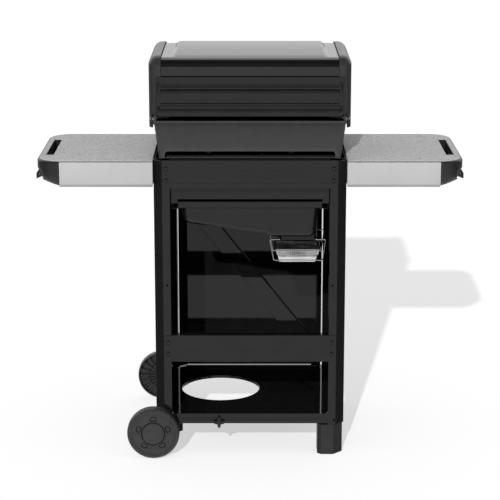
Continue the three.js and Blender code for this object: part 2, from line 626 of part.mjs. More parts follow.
// ---------- lid ----------
function lidPath(rear, top, corner, foot, front) {
  const nose = new THREE.Vector2(LID.noseY + front, LID.noseZ);
  const chin = new THREE.Vector2(LID.frontY + front, LID.low);
  const lean = (chin.x - nose.x) / (chin.y - nose.y);
  const control = new THREE.Vector2(nose.x + lean * (top - nose.y), top);
  const curve = new THREE.QuadraticBezierCurve(new THREE.Vector2(LID.flatFront, top), control, nose);
  const arc = Array.from({ length: 6 }, (_, i) => {
    const angle = (Math.PI / 2) * (i / 5);
    const y = rear - corner + corner * Math.cos(angle);
    return new THREE.Vector2(y, top - corner + corner * Math.sin(angle));
  });
  const end = new THREE.Vector2(nose.x + lean * (foot - nose.y), foot);
  return [...arc, ...curve.getPoints(8), end];
}

function addLidShroud() {
  const { rear, top, bandLow, corner, half, low, flatFront } = LID;
  const path = [new THREE.Vector2(rear, bandLow), ...lidPath(rear, top, corner, low, 0)];
  const skin = prism('x', bentSheet(path, SHEET), -half, half);
  const raised = (d, drop) => tapered(
    [-228.5 + d, 228.5 - d, -86 + d, 226 - d], top - 6,
    [-210.5 + d, 210.5 - d, -46 + d, 210 - d], top + 11 - drop);
  const slope = tiltTop(raised(0, 0));
  const inside = tiltTop(raised(2, SHEET));
  add('lid_shroud', cut(join(skin, common(slope, block(-240, 240, flatFront - 60, rear, top - 1.4, top + 20))),
    common(inside, block(-240, 240, flatFront - 8, rear, top - 8, top + 20))), ENAMEL);
}

// The raised centre of the lid is nearly flush at the rear and stands proud towards the front.
function tiltTop(geometry) {
  const position = geometry.attributes.position;
  for (let i = 0; i < position.count; i += 1) {
    if (position.getZ(i) > LID.top && position.getY(i) > 100) position.setZ(i, position.getZ(i) - 8.5);
  }
  return geometry;
}

function addLidCaps() {
  const { rear, capTop, capLow, capIn, capOut, capRound, capWall, pivotY, pivotZ, skirtIn } = LID;
  const below = 60; // the outline runs past the lower edge and is cut off straight
  const outline = [
    new THREE.Vector2(rear, capLow - below), ...lidPath(rear, capTop, 28, capLow - below, -6),
  ];
  const solid = (d) => pillow('x', inset(outline, d), capIn - 40, capOut - d, capRound - d);
  for (const [side, toRight] of SIDES) {
    const shell = cut(
      common(solid(0), block(capIn, capOut + 1, -400, 400, capLow, 1300)),
      solid(capWall),
      block(0, skirtIn, -400, 400, 900, pivotZ),
    );
    const ear = prism('x', rounded([
      [rear - 12, pivotZ - 12], [pivotY + 8, pivotZ - 12, 7],
      [pivotY + 8, pivotZ + 10, 7], [rear - 12, pivotZ + 10],
    ], 30), 281.8, 285.5);
    const boss = block(285, 290.8, rear - 12, rear - 4, pivotZ - 12, pivotZ + 10);
    const cap = cut(join(shell, ear, boss), rod('x', 4.3, 260, 289, pivotY, pivotZ, 12));
    add(`lid_${side}_end_cap`, toRight > 0 ? cap : mirrorX(cap), CAST_BLACK);
  }
}

function addLidBack() {
  const y = LID.rear + GAP;
  const bead = (z) => prism('y', rounded([
    [-BACK.beadHalf, z - BACK.beadWidth / 2, 3.4], [BACK.beadHalf, z - BACK.beadWidth / 2, 3.4],
    [BACK.beadHalf, z + BACK.beadWidth / 2, 3.4], [-BACK.beadHalf, z + BACK.beadWidth / 2, 3.4],
  ], 45), y + 0.5, y + SHEET + 1.2);
  const screws = [];
  for (const x of [-263.5, 263.5]) {
    for (const z of [1042, 1112]) screws.push(rod('y', 3.2, y + 0.5, y + SHEET + 1.6, x, z, 10));
  }
  add('lid_back_panel', join(
    block(-BACK.half, BACK.half, y, y + SHEET, BACK.low, BACK.high), ...BACK.beads.map(bead), ...screws,
  ), BLACK_PAINT);
}

const lean = (LID.frontY - LID.noseY) / (LID.noseZ - LID.low);
const lidFaceY = (z) => LID.noseY + lean * (LID.noseZ - z); // outer face of the lid's front at a height

function addLidFront() {
  const { half, y, z, r, armX } = HANDLE;
  const arm = (x) => prism('x', rounded([
    [lidFaceY(z + 16) - 0.5, z + 16], [y - 2, z + 9, 8], [y - 2, z - 9, 8], [lidFaceY(z - 16) - 0.5, z - 16],
  ], 30), x - 9, x + 9);
  add('lid_handle', join(rod('x', r, -half, half, y, z, 20), arm(-armX), arm(armX)), STAINLESS);

  const group = new THREE.Group();
  group.position.set(0, lidFaceY(DIAL.z), DIAL.z);
  group.rotation.x = Math.PI / 2 - Math.atan(-lean);
  grill.add(group);
  const rim = lathe([
    [0, 0.4], [DIAL.r, 0.4], [DIAL.r, DIAL.depth - 1], [DIAL.r - 1, DIAL.depth], [DIAL.r - 2.5, DIAL.depth],
    [DIAL.r - 3.5, 4], [1.8, 4], [1.8, 2], [0, 2],
  ], 24);
  add('thermometer', rim, DIAL_WHITE, group);
  const needle = join(rod('z', 1.5, 2.4, 6, 0, 0, 10), block(-0.8, 0.8, -5, 19, 5, 6));
  add('thermometer_needle', needle.rotateZ(DIAL.cold), BLACK_PLASTIC, group);
}

// ---------- door ----------
function addDoor() {
  const { half, low, high, skin, back, sheet, pivotX, pivotY } = DOOR;
  const path = vectors([
    [-half + 8, back], [-half, back], [-half, skin],
    [half - 27, skin], [half - 9, back - sheet], [half, back - sheet],
  ]);
  const face = prism('z', bentSheet(path, sheet), low, high);
  const hingeTab = block(-half + 0.4, -half + 30, skin + 0.2, back, low, low + sheet);
  const topReturn = prism('z', vectors([
    [-half + 0.4, back], [-half + 0.4, skin + 0.2],
    [half - 27, skin + 0.2], [half - 10, back - 0.4], [half - 10, back],
  ]), high - sheet, high);
  const holes = [low - 5, high - 15].map((z) => rod('z', 3.4, z, z + 20, pivotX, pivotY, 12));
  add('door_panel', cut(join(face, hingeTab, topReturn), ...holes), BLACK_PAINT);
  add('door_lower_pin', join(
    rod('z', 3, SHELF.top + GAP, low + 8, pivotX, pivotY, 12),
    rod('z', 6, SHELF.top + GAP, SHELF.top + 1.8, pivotX, pivotY, 12),
  ), STAINLESS);
  add('door_upper_pin', rod('z', 3, high - 8, CROSSBAR.low - GAP, pivotX, pivotY, 12), STAINLESS);

  const { width, depth } = BRACE;
  const hat = vectors([
    [-width / 2, 0], [-width / 2 + 3, 0], [-width / 2 + 4, depth],
    [width / 2 - 4, depth], [width / 2 - 3, 0], [width / 2, 0],
  ]);
  const group = new THREE.Group();
  group.position.set(BRACE.x, skin + sheet + GAP, BRACE.z);
  group.rotation.y = Math.PI / 2 - THREE.MathUtils.degToRad(BRACE.angle);
  grill.add(group);
  const run = new THREE.ExtrudeGeometry(new THREE.Shape(bentSheet(hat, 1)), {
    depth: BRACE.up + BRACE.down, bevelEnabled: false,
  });
  add('door_brace', run.translate(0, 0, -BRACE.down), BLACK_PAINT, group);
}

// ---------- grease tray and catch pan ----------
function addGreaseTray() {
  const { rear, half, low, high, openHalf, openTop } = SURROUND;
  const rails = [-1, 1].map((side) => prism('y', mirrored(vectors([
    [204, TRAY.flange - 2.3], [228, TRAY.flange - 2.3], [228, 790], [226.5, 790], [226.5, TRAY.flange - 0.5],
    [204, TRAY.flange - 0.5],
  ]), side), CART.front + 25, rear - 0.5));
  const surround = cut(
    block(-half, half, rear - SHEET, rear, low, high),
    block(-openHalf, openHalf, rear - 5, rear + 5, low - 1, openTop),
  );
  add('tray_frame', join(surround, ...rails), BLACK_PAINT);

  const { left, right, shallow, knee, deep, round, flange, sheet, lipTop } = TRAY;
  const face = rounded([
    [right, flange + 40], [right - 5, shallow, 8], [-50.5, knee, 25], [-65.4, deep, 12], [-177.3, deep, 8],
    [left, flange + 40],
  ], 20);
  const funnel = (d) => pillow('y', inset(face, d - round), TRAY.front + d, TRAY.rear - d, round - d, 3);
  const drain = rod('z', 14, 640, 690, PAN.x, PAN.y, 16);
  const flangePlate = cut(
    block(-TRAY.half, TRAY.half, TRAY.front - 8, TRAY.rear + 6, flange, flange + sheet),
    block(
      left - round + sheet, right + round - sheet, TRAY.front + sheet, TRAY.rear - sheet, flange - 5, flange + 9),
  );
  const guides = [[-93.5, -92, -82], [-188.7, -187.2, -198.6]].flatMap(([x0, x1, foot]) => [
    block(x0, x1, 130, 250, 646, 672),
    block(foot > x0 ? x0 : foot, foot > x0 ? foot : x1, 130, 250, 646, 647.5),
  ]);
  const shell = common(funnel(0), block(-300, 300, -300, 300, 600, flange + sheet - 0.2));
  const lip = block(-TRAY.half, TRAY.half, TRAY.rear + 4.5, TRAY.rear + 6, flange, lipTop);
  const bowl = cut(join(shell, ...guides), funnel(sheet));
  add('grease_tray', cut(join(bowl, flangePlate, lip), drain), BLACK_PAINT);

  const loop = (y) => wire([
    [-86, y, 651], [-58, y, 651], [-69.5, y, 588], [-214, y, 588], [-222.7, y, 651], [-194.6, y, 651],
  ], WIRE);
  const rim = PAN.rim - 3.5;
  const cross = (y) => wire([[-64.5, y, rim], [-218, y, rim]], WIRE);
  const long = (x, z) => wire([[x, 134, z], [x, 254, z]], WIRE);
  add('catch_pan_holder', join(
    loop(254), loop(134), cross(254), cross(134), long(-86, 651), long(-194.6, 651),
    long(PAN.x - PAN.halfX + 3.5, rim), long(PAN.x + PAN.halfX - 3.5, rim),
  ), CHROME);
  add('catch_pan', panGeometry(), ALUMINIUM);
}

function panGeometry() {
  const { x, y, halfX, halfY, rim, low } = PAN;
  const rect = (dx, dy) => [x - halfX + dx, x + halfX - dx, y - halfY + dy, y + halfY - dy];
  const body = tapered(rect(13, 12), low, rect(7, 7), rim - 0.5);
  const flange = block(...rect(0, 0), rim - 0.9, rim);
  const inside = tapered(rect(13.9, 12.9), low + 0.9, rect(7.8, 7.8), rim + 1);
  return cut(join(body, flange), inside);
}

addPosts();
addSidePanels();
add('rear_upper_beam', beam(UPPER_BEAM), BLACK_PAINT);
add('rear_middle_beam', beam(MIDDLE_BEAM), BLACK_PAINT);
addCrossbar();
addShelf();
addFeetAndWheels();
addTankClamp();
addTables();
addCookbox();
addFire();
addControls();
addLidShroud();
addLidCaps();
addLidBack();
addLidFront();
addDoor();
addGreaseTray();

export default grill;
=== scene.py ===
# Gas barbecue grill on a cart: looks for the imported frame. Metres, +Z up, front at -Y.
# Outlines are given in millimetres, as the design is, and scaled once when a mesh is made.
import json
import math

import bmesh
import bpy
from mathutils import Matrix, Vector


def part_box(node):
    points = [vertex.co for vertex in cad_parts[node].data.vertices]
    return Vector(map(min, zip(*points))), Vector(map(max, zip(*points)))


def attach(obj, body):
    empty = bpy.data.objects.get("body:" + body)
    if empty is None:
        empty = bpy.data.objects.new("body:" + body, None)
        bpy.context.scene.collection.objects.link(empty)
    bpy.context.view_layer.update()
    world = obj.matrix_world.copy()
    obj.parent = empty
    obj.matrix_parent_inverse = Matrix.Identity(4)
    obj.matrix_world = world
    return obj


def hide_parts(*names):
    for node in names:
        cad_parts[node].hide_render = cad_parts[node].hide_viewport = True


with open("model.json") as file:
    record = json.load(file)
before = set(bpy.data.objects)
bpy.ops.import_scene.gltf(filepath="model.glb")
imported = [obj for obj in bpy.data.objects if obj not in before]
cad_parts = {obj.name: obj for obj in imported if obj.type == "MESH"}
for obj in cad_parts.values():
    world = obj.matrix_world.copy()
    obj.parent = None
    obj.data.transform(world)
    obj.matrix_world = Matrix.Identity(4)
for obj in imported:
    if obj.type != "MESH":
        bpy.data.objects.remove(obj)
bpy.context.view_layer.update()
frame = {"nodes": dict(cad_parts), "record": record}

MM = 0.001

# ---------- the view: behind the grill, a little above it ----------
CAMERA_HEIGHT = 1.902
CAMERA_DISTANCE = 5.022  # from the rear posts' plane
CAMERA_TILT = 14.2  # degrees below the horizon
CAMERA_LENS = 128.16
REAR_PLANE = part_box("rear_left_post")[1].y


def add_camera():
    data = bpy.data.cameras.new("camera")
    data.lens = CAMERA_LENS
    data.sensor_width = 36.0
    camera = bpy.data.objects.new("camera", data)
    camera.location = (0, REAR_PLANE + CAMERA_DISTANCE, CAMERA_HEIGHT)
    camera.rotation_euler = (math.radians(90 - CAMERA_TILT), 0, math.radians(180))
    bpy.context.scene.collection.objects.link(camera)
    bpy.context.scene.camera = camera


# ---------- node helpers ----------
class Shader:
    """A small builder for one material's or world's node tree."""

    def __init__(self, owner):
        owner.use_nodes = True
        self.tree = owner.node_tree
        self.tree.nodes.clear()

    def node(self, kind, **settings):
        made = self.tree.nodes.new(kind)
        for name, value in settings.items():
            setattr(made, name, value)
        return made

    def link(self, source, target):
        self.tree.links.new(source, target)

    def math(self, operation, a, b=0.0, third=0.0):
        made = self.node("ShaderNodeMath", operation=operation)
        for socket, value in zip(made.inputs, (a, b, third)):
            if isinstance(value, (int, float)):
                socket.default_value = value
            else:
                self.link(value, socket)
        return made.outputs[0]

    def ramp(self, fac, stops):
        """A color ramp over (position, color) stops, where a plain number is a grey."""
        made = self.node("ShaderNodeValToRGB")
        elements = made.color_ramp.elements
        while len(elements) < len(stops):
            elements.new(0.5)
        for element, (position, color) in zip(elements, stops):
            element.position = position
            rgb = [color] * 3 if isinstance(color, (int, float)) else color
            element.color = (*rgb, 1)
        self.link(fac, made.inputs[0])
        return made.outputs[0]

    def noise(self, vector, scale, detail=3.0, roughness=0.5):
        made = self.node("ShaderNodeTexNoise")
        made.inputs["Scale"].default_value = scale
        made.inputs["Detail"].default_value = detail
        made.inputs["Roughness"].default_value = roughness
        self.link(vector, made.inputs["Vector"])
        return made.outputs["Fac"]

    def cells(self, vector, scale):
        """Three random tones that each stay the same over one small cell."""
        made = self.node("ShaderNodeTexVoronoi", feature="F1")
        made.inputs["Scale"].default_value = scale
        self.link(vector, made.inputs["Vector"])
        split = self.node("ShaderNodeSeparateColor")
        self.link(made.outputs["Color"], split.inputs[0])
        return split.outputs

    def stretched(self, vector, scale):
        made = self.node("ShaderNodeMapping")
        made.inputs["Scale"].default_value = scale
        self.link(vector, made.inputs["Vector"])
        return made.outputs[0]

    def bump(self, height, strength, distance, normal=None):
        made = self.node("ShaderNodeBump")
        made.inputs["Strength"].default_value = strength
        made.inputs["Distance"].default_value = distance
        self.link(height, made.inputs["Height"])
        if normal is not None:
            self.link(normal, made.inputs["Normal"])
        return made.outputs[0]


def surface(name, metallic=0.0, specular=0.5, coat=0.0, anisotropic=0.0):
    """A new material, with its builder, its principled shader and its object coordinates."""
    material = bpy.data.materials.new(name)
    s = Shader(material)
    out = s.node("ShaderNodeOutputMaterial")
    bsdf = s.node("ShaderNodeBsdfPrincipled")
    bsdf.inputs["Metallic"].default_value = metallic
    bsdf.inputs["Specular IOR Level"].default_value = specular
    bsdf.inputs["Coat Weight"].default_value = coat
    bsdf.inputs["Coat Roughness"].default_value = 0.1
    bsdf.inputs["Anisotropic"].default_value = anisotropic
    s.link(bsdf.outputs[0], out.inputs[0])
    place = s.node("ShaderNodeTexCoord").outputs["Object"]
    return material, s, bsdf, place


def painted(name, dark, light, rough, peel, coat=0.0):
    """Sprayed paint: cloudy tone, patches of slightly different gloss, and orange peel."""
    material, s, bsdf, place = surface(name, coat=coat)
    cloud = s.noise(place, 18, 4)
    s.link(s.ramp(cloud, [(0.3, dark), (0.7, light)]), bsdf.inputs["Base Color"])
    wipe = s.noise(s.stretched(place, (3, 3, 9)), 2.5, 5, 0.6)
    s.link(s.ramp(wipe, [(0.3, rough[0]), (0.75, rough[1])]), bsdf.inputs["Roughness"])
    skin = s.noise(place, 420, 2)
    s.link(s.bump(skin, peel, 0.001), bsdf.inputs["Normal"])
    return material


TABLE_TONE = 0.272


def speckled_metal(name):
    """Grey metallic coating: fine flakes everywhere, and a coarser speckle on what faces up."""
    material, s, bsdf, place = surface(name, metallic=0.2, specular=0.4)
    flakes = s.cells(place, 1300)
    spots = s.cells(place, 240)
    fine = s.ramp(flakes[0], [(0.0, 0.9), (1.0, 1.08)])
    coarse = s.ramp(spots[0], [(0.0, 0.5), (0.45, 0.88), (1.0, 0.96)])
    facing = s.node("ShaderNodeSeparateXYZ")
    s.link(s.node("ShaderNodeTexCoord").outputs["Normal"], facing.inputs[0])
    upward = s.math("GREATER_THAN", facing.outputs[2], 0.6)
    speckle = s.math("MULTIPLY_ADD", s.math("SUBTRACT", coarse, 1.0), upward, third=1.0)
    cloud = s.ramp(s.noise(place, 9, 4), [(0.3, 0.96), (0.7, 1.03)])
    shade = s.math("MULTIPLY", s.math("MULTIPLY", fine, speckle), cloud)
    s.link(s.math("MULTIPLY", shade, TABLE_TONE), bsdf.inputs["Base Color"])
    s.link(s.ramp(flakes[1], [(0.0, 0.42), (1.0, 0.58)]), bsdf.inputs["Roughness"])
    s.link(s.bump(flakes[2], 0.1, 0.0002), bsdf.inputs["Normal"])
    return material


def brushed(name, color, along, rough=(0.24, 0.4)):
    """Brushed steel, with fine scratches along X, Y or Z."""
    material, s, bsdf, place = surface(name, metallic=1.0, anisotropic=0.5)
    scale = [900.0, 900.0, 900.0]
    scale["xyz".index(along)] = 9.0
    grain = s.noise(s.stretched(place, scale), 1.0, 2)
    dark = [c * 0.86 for c in color]
    s.link(s.ramp(grain, [(0.3, dark), (0.7, color)]), bsdf.inputs["Base Color"])
    s.link(s.ramp(grain, [(0.3, rough[0]), (0.7, rough[1])]), bsdf.inputs["Roughness"])
    s.link(s.bump(grain, 0.05, 0.0003), bsdf.inputs["Normal"])
    return material


def grained(parts, tones, rough, cloud, grain, bump):
    """Cloudy tones, and one fine grain that varies both the gloss and the height."""
    material, s, bsdf, place = parts
    s.link(s.ramp(s.noise(place, *cloud), tones), bsdf.inputs["Base Color"])
    fine = s.noise(place, *grain)
    s.link(s.ramp(fine, [(0.3, rough[0]), (0.7, rough[1])]), bsdf.inputs["Roughness"])
    s.link(s.bump(fine, *bump), bsdf.inputs["Normal"])
    return material


def metal(name, color, rough, grain_scale=260.0, bump=0.08):
    """Plain metal with a fine grain and blotches, such as foil, brass or plated wire."""
    tones = [(0.35, [c * 0.85 for c in color]), (0.65, color)]
    return grained(surface(name, metallic=1.0), tones, rough, (30, 4), (grain_scale, 3), (bump, 0.0005))


def cast(name, dark, light, rough, pits=0.25):
    """Cast metal under a thin coat: a grainy surface with small pits."""
    tones = [(0.3, dark), (0.7, light)]
    return grained(surface(name, specular=0.4), tones, rough, (40, 5), (320, 4, 0.6), (pits, 0.0006))


def plastic(name, dark, light, rough, texture=0.18):
    """Moulded plastic with a fine spark-eroded texture."""
    tones = [(0.3, dark), (0.7, light)]
    return grained(surface(name, specular=0.45), tones, rough, (25, 3), (700, 2), (texture, 0.0003))


MATERIALS = {
    "black_paint": painted("black_paint", 0.0025, 0.0035, (0.025, 0.05), peel=0.006),
    "enamel": painted("enamel", 0.002, 0.003, (0.1, 0.16), peel=0.015, coat=0.4),
    "cast_black": cast("cast_black", 0.0115, 0.0135, (0.2, 0.28), pits=0.03),
    "table_metal": speckled_metal("table_metal"),
    "black_plastic": plastic("black_plastic", 0.006, 0.009, (0.26, 0.38)),
    "wheel_plastic": plastic("wheel_plastic", 0.012, 0.017, (0.34, 0.46)),
    "stainless": brushed("stainless", [0.62, 0.62, 0.63], "y"),
    "brass": metal("brass", [0.62, 0.45, 0.2], (0.25, 0.4)),
    "aluminium": metal("aluminium", [0.72, 0.72, 0.74], (0.3, 0.42)),
    "pan_foil": metal("pan_foil", [0.86, 0.86, 0.87], (0.14, 0.26), grain_scale=120, bump=0.05),
    "chrome_wire": metal("chrome_wire", [0.66, 0.66, 0.67], (0.1, 0.2), bump=0.03),
    "cast_iron": cast("cast_iron", 0.012, 0.02, (0.45, 0.65)),
    "dial": plastic("dial", [0.6, 0.6, 0.57], [0.66, 0.66, 0.63], (0.3, 0.4), texture=0.03),
}
# A lighter copy of cast_black for the cookbox: its extra brightness is painted light, standing in for the
# reflection that its rear wall lacks.
PAINTED_LIGHT_CASTING = cast("cast_black_painted_light", 0.0205, 0.0225, (0.2, 0.28), pits=0.03)
RECORD = frame["record"]
NODE_SLOT = {part["node"]: part["material_slot"] for part in RECORD["subparts"]}
NODE_BODY = {node: body for body, members in RECORD["behaviour"]["bodies"].items() for node in members}
SIDES = (("left", -1), ("right", 1))


def add_weighting(piece):
    """Large faces keep their own normal, so that only the rounded edges bend the light."""
    weighting = piece.modifiers.new("shading", "WEIGHTED_NORMAL")
    weighting.mode = "FACE_AREA"
    weighting.weight = 80
    weighting.keep_sharp = True


def link_piece(name, mesh, slot, body, replaced=()):
    mesh.materials.clear()
    mesh.materials.append(MATERIALS[slot])
    piece = bpy.data.objects.new(name, mesh)
    bpy.context.scene.collection.objects.link(piece)
    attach(piece, body)
    if replaced:
        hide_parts(*replaced)
    return piece


def add_bevel(piece, width, segments=2):
    bevel = piece.modifiers.new("edges", "BEVEL")
    bevel.width = width * MM
    bevel.segments = segments
    bevel.limit_method = "ANGLE"
    bevel.angle_limit = math.radians(35)
    bevel.miter_outer = "MITER_ARC"
    add_weighting(piece)
    return piece


def flip_x(mesh):
    """Turns a right-hand shape into its left-hand mirror image."""
    mesh.transform(Matrix.Diagonal((-1, 1, 1, 1)))
    mesh.flip_normals()


def on_segment(point, start, end):
    """Whether a point lies on a straight run, to half a millimetre."""
    start, end = Vector(start), Vector(end)
    share = (point - start).dot(end - start) / (end - start).length_squared
    return -0.01 < share < 1.01 and (start.lerp(end, share) - point).length < 0.5


def edited(mesh, change):
    """Opens a mesh for editing, makes one change and writes it back."""
    work = bmesh.new()
    work.from_mesh(mesh)
    change(work)
    work.to_mesh(mesh)
    work.free()
    return mesh


def refined(node, width=0.5, segments=2, rounded_runs=(), run_width=5.0):
    """The CAD node's own shape with its triangles merged into faces and its edges rounded."""
    def reshape(work):
        bmesh.ops.remove_doubles(work, verts=work.verts, dist=2e-6)
        bmesh.ops.dissolve_limit(work, angle_limit=math.radians(0.6), verts=work.verts, edges=work.edges)
        chosen = [edge for edge in work.edges
                  if any(all(on_segment(vert.co / MM, *run) for vert in edge.verts) for run in rounded_runs)]
        if chosen:
            bmesh.ops.bevel(work, geom=chosen, offset=run_width * MM, segments=6, profile=0.5, affect="EDGES")
        for face in work.faces:
            face.smooth = True

    mesh = edited(frame["nodes"][node].data.copy(), reshape)
    piece = link_piece(node + "_skin", mesh, NODE_SLOT[node], NODE_BODY[node], [node])
    return add_bevel(piece, width, segments)


# ---------- mesh helpers: shapes are made in millimetres, then put in place ----------
AXES = {
    "x": Matrix(((0, 0, 1, 0), (1, 0, 0, 0), (0, 1, 0, 0), (0, 0, 0, 1))),  # outline (u, v) becomes (y, z)
    "y": Matrix(((1, 0, 0, 0), (0, 0, -1, 0), (0, 1, 0, 0), (0, 0, 0, 1))),  # (x, z), and depth runs to -Y
    "z": Matrix.Identity(4),
}
TURNED = dict(AXES, y=Matrix(((0, 1, 0, 0), (0, 0, 1, 0), (1, 0, 0, 0), (0, 0, 0, 1))))  # height runs to +Y


def to_mesh(name, verts, faces):
    mesh = bpy.data.meshes.new(name)
    mesh.from_pydata([Vector(v) for v in verts], [], faces)
    mesh.update()
    return mesh


def merged(name, meshes):
    work = bmesh.new()
    for mesh in meshes:
        work.from_mesh(mesh)
        bpy.data.meshes.remove(mesh)
    result = bpy.data.meshes.new(name)
    work.to_mesh(result)
    work.free()
    return result


def box_mesh(x0, x1, y0, y1, z0, z1):
    work = bmesh.new()
    bmesh.ops.create_cube(work, size=1)
    mesh = bpy.data.meshes.new("box")
    work.to_mesh(mesh)
    work.free()
    size = Matrix.Diagonal((x1 - x0, y1 - y0, z1 - z0, 1))
    mesh.transform(Matrix.Translation(((x0 + x1) / 2, (y0 + y1) / 2, (z0 + z1) / 2)) @ size)
    return mesh


def rounded(corners, step=9.0):
    """Corner points (u, v, radius) become an outline, and a corner with a radius becomes an arc."""
    points = []
    for i, corner in enumerate(corners):
        here = Vector(corner[:2])
        radius = corner[2] if len(corner) > 2 else 0
        if not radius:
            points.append(here)
            continue
        before = (Vector(corners[i - 1][:2]) - here).normalized()
        after = (Vector(corners[(i + 1) % len(corners)][:2]) - here).normalized()
        half = before.angle(after) / 2
        middle = here + (before + after).normalized() * radius / math.sin(half)
        start = here + before * radius / math.tan(half) - middle
        end = here + after * radius / math.tan(half) - middle
        sweep = math.atan2(start.x * end.y - start.y * end.x, start.dot(end))
        steps = max(2, round(abs(math.degrees(sweep)) / step))
        points += [middle + Matrix.Rotation(sweep * k / steps, 2) @ start for k in range(steps + 1)]
    return points


def circle(radius, sides, u=0.0, v=0.0):
    angles = [2 * math.pi * i / sides for i in range(sides)]
    return [Vector((u + radius * math.cos(a), v + radius * math.sin(a))) for a in angles]


def rectangle(u0, u1, v0, v1, radius=0.0, step=9.0):
    return rounded([(u0, v0, radius), (u1, v0, radius), (u1, v1, radius), (u0, v1, radius)], step)


def inset(outline, distance):
    """A closed outline moved inwards."""
    area = sum(a.x * b.y - b.x * a.y for a, b in zip(outline, outline[1:] + outline[:1]))
    turn = 1 if area > 0 else -1
    result = []
    for i, here in enumerate(outline):
        a = (here - outline[i - 1]).normalized()
        b = (outline[(i + 1) % len(outline)] - here).normalized()
        normal = Vector((-(a.y + b.y), a.x + b.x)).normalized()
        result.append(here + normal * turn * distance / max(0.5, math.sqrt((1 + a.dot(b)) / 2)))
    return result


def weld(work):
    bmesh.ops.remove_doubles(work, verts=work.verts, dist=1e-3)
    bmesh.ops.recalc_face_normals(work, faces=work.faces)


def curve_mesh(curve, loops, closed):
    """The mesh of a curve that runs straight from point to point of each loop."""
    for loop in loops:
        spline = curve.splines.new("POLY")
        spline.points.add(len(loop) - 1)
        for point, place in zip(spline.points, loop):
            point.co = (*Vector(place).to_3d(), 1)
        spline.use_cyclic_u = closed
    holder = bpy.data.objects.new("curve", curve)
    mesh = bpy.data.meshes.new_from_object(holder)
    bpy.data.objects.remove(holder)
    bpy.data.curves.remove(curve)
    return mesh


def plate(axis, loops, start, end, bevel=0.6, segments=3):
    """A plate from start to end with rounded edges: the first loop is its outline, the others are holes."""
    curve = bpy.data.curves.new("plate", "CURVE")
    curve.dimensions = "2D"
    curve.fill_mode = "BOTH"
    curve.extrude = (end - start) / 2 - bevel
    curve.bevel_depth = bevel
    curve.bevel_resolution = segments
    curve.offset = -bevel
    mesh = curve_mesh(curve, loops, closed=True)
    middle = (start + end) / 2
    place = {"x": (middle, 0, 0), "y": (0, middle, 0), "z": (0, 0, middle)}[axis]
    mesh.transform(Matrix.Translation(place) @ AXES[axis])
    return edited(mesh, weld)


def loft(rows, around=False, last=False):
    """Faces between rows of points; around closes each row, and last fills the last row."""
    count = len(rows[0])
    verts = [point for row in rows for point in row]
    faces = []
    for i in range(len(rows) - 1):
        for j in range(count if around else count - 1):
            k = (j + 1) % count
            faces.append((i * count + j, i * count + k, (i + 1) * count + k, (i + 1) * count + j))
    if last:
        faces.append(tuple((len(rows) - 1) * count + j for j in range(count)))
    return edited(to_mesh("loft", verts, faces), weld)


def lathe(axis, profile, centre=(0, 0, 0), sides=64, teeth=None):
    """A turned shape from (radius, height) points; height runs along the axis from the centre."""
    rows = []
    for radius, height in profile:
        row = []
        for i in range(sides):
            angle = 2 * math.pi * i / sides
            reach = teeth(radius, i) if teeth else radius
            row.append((reach * math.cos(angle), reach * math.sin(angle), height))
        rows.append(row)
    mesh = loft(rows, around=True)
    mesh.transform(Matrix.Translation(centre) @ TURNED[axis])
    return mesh


def bent(start, control, end, steps):
    """Points of a parabola that leaves start towards the control point and reaches end from it."""
    shares = [k / steps for k in range(steps + 1)]
    return [(1 - t) ** 2 * start + 2 * t * (1 - t) * control + t * t * end for t in shares]


def filleted(points, radius, steps=6):
    """A route of straight runs with its corners rounded."""
    route = [Vector(points[0])]
    for before, here, after in zip(points, points[1:], points[2:]):
        here = Vector(here)
        back = Vector(before) - here
        ahead = Vector(after) - here
        reach = min(radius, back.length * 0.45, ahead.length * 0.45)
        route += bent(here + back.normalized() * reach, here, here + ahead.normalized() * reach, steps)
    route.append(Vector(points[-1]))
    return route


def tube(points, radius, sides=12, bend=0.0):
    """A round wire or pipe along points, with its corners rounded to the bend radius."""
    curve = bpy.data.curves.new("tube", "CURVE")
    curve.dimensions = "3D"
    curve.bevel_depth = radius
    curve.bevel_resolution = max(1, sides // 4 - 1)
    curve.use_fill_caps = True
    return curve_mesh(curve, [filleted(points, bend) if bend else points], closed=False)


def cut(work, point, normal, clear=False):
    """Cuts faces along a plane; clear removes the side that the plane's normal points to."""
    geometry = work.verts[:] + work.edges[:] + work.faces[:]
    bmesh.ops.bisect_plane(
        work, geom=geometry, plane_co=point, plane_no=normal, clear_outer=clear, dist=1e-3)


def clipped(mesh, point, normal):
    """The part of a shape on the side of the plane that its normal points away from, left open."""
    return edited(mesh, lambda work: cut(work, point, normal, clear=True))


def smoothed(mesh, sharp=40.0):
    for polygon in mesh.polygons:
        polygon.use_smooth = True
    mesh.set_sharp_from_angle(angle=math.radians(sharp))
    return mesh


def put(name, meshes, slot, body, replaced=(), bevel=0.0, segments=3, thick=0.0, sharp=40.0, place=None):
    """Places shapes made in millimetres as one piece on a body."""
    mesh = merged(name, meshes if isinstance(meshes, list) else [meshes])
    if place:
        mesh.transform(place)
    mesh.transform(Matrix.Scale(MM, 4))
    smoothed(mesh, sharp)
    piece = link_piece(name, mesh, slot, body, replaced)
    if thick:
        skin = piece.modifiers.new("thickness", "SOLIDIFY")
        skin.thickness = thick * MM
        skin.offset = -1.0
    if bevel:
        add_bevel(piece, bevel, segments)
    elif thick:
        add_weighting(piece)
    return piece


def dome(axis, radius, height, centre, rise=0.45):
    """A round-headed screw: a short wall and a domed top with a small flat."""
    wall = height * (1 - rise)
    steps = 8
    profile = [(radius * 0.98, 0), (radius, 0.15)]
    for k in range(steps + 1):
        angle = math.pi / 2 * k / steps
        profile.append((radius * math.cos(angle), wall + height * rise * math.sin(angle)))
    return lathe(axis, profile, centre, 32)


def smooth_step(low, high, value):
    t = min(1.0, max(0.0, (value - low) / (high - low)))
    return t * t * (3 - 2 * t)


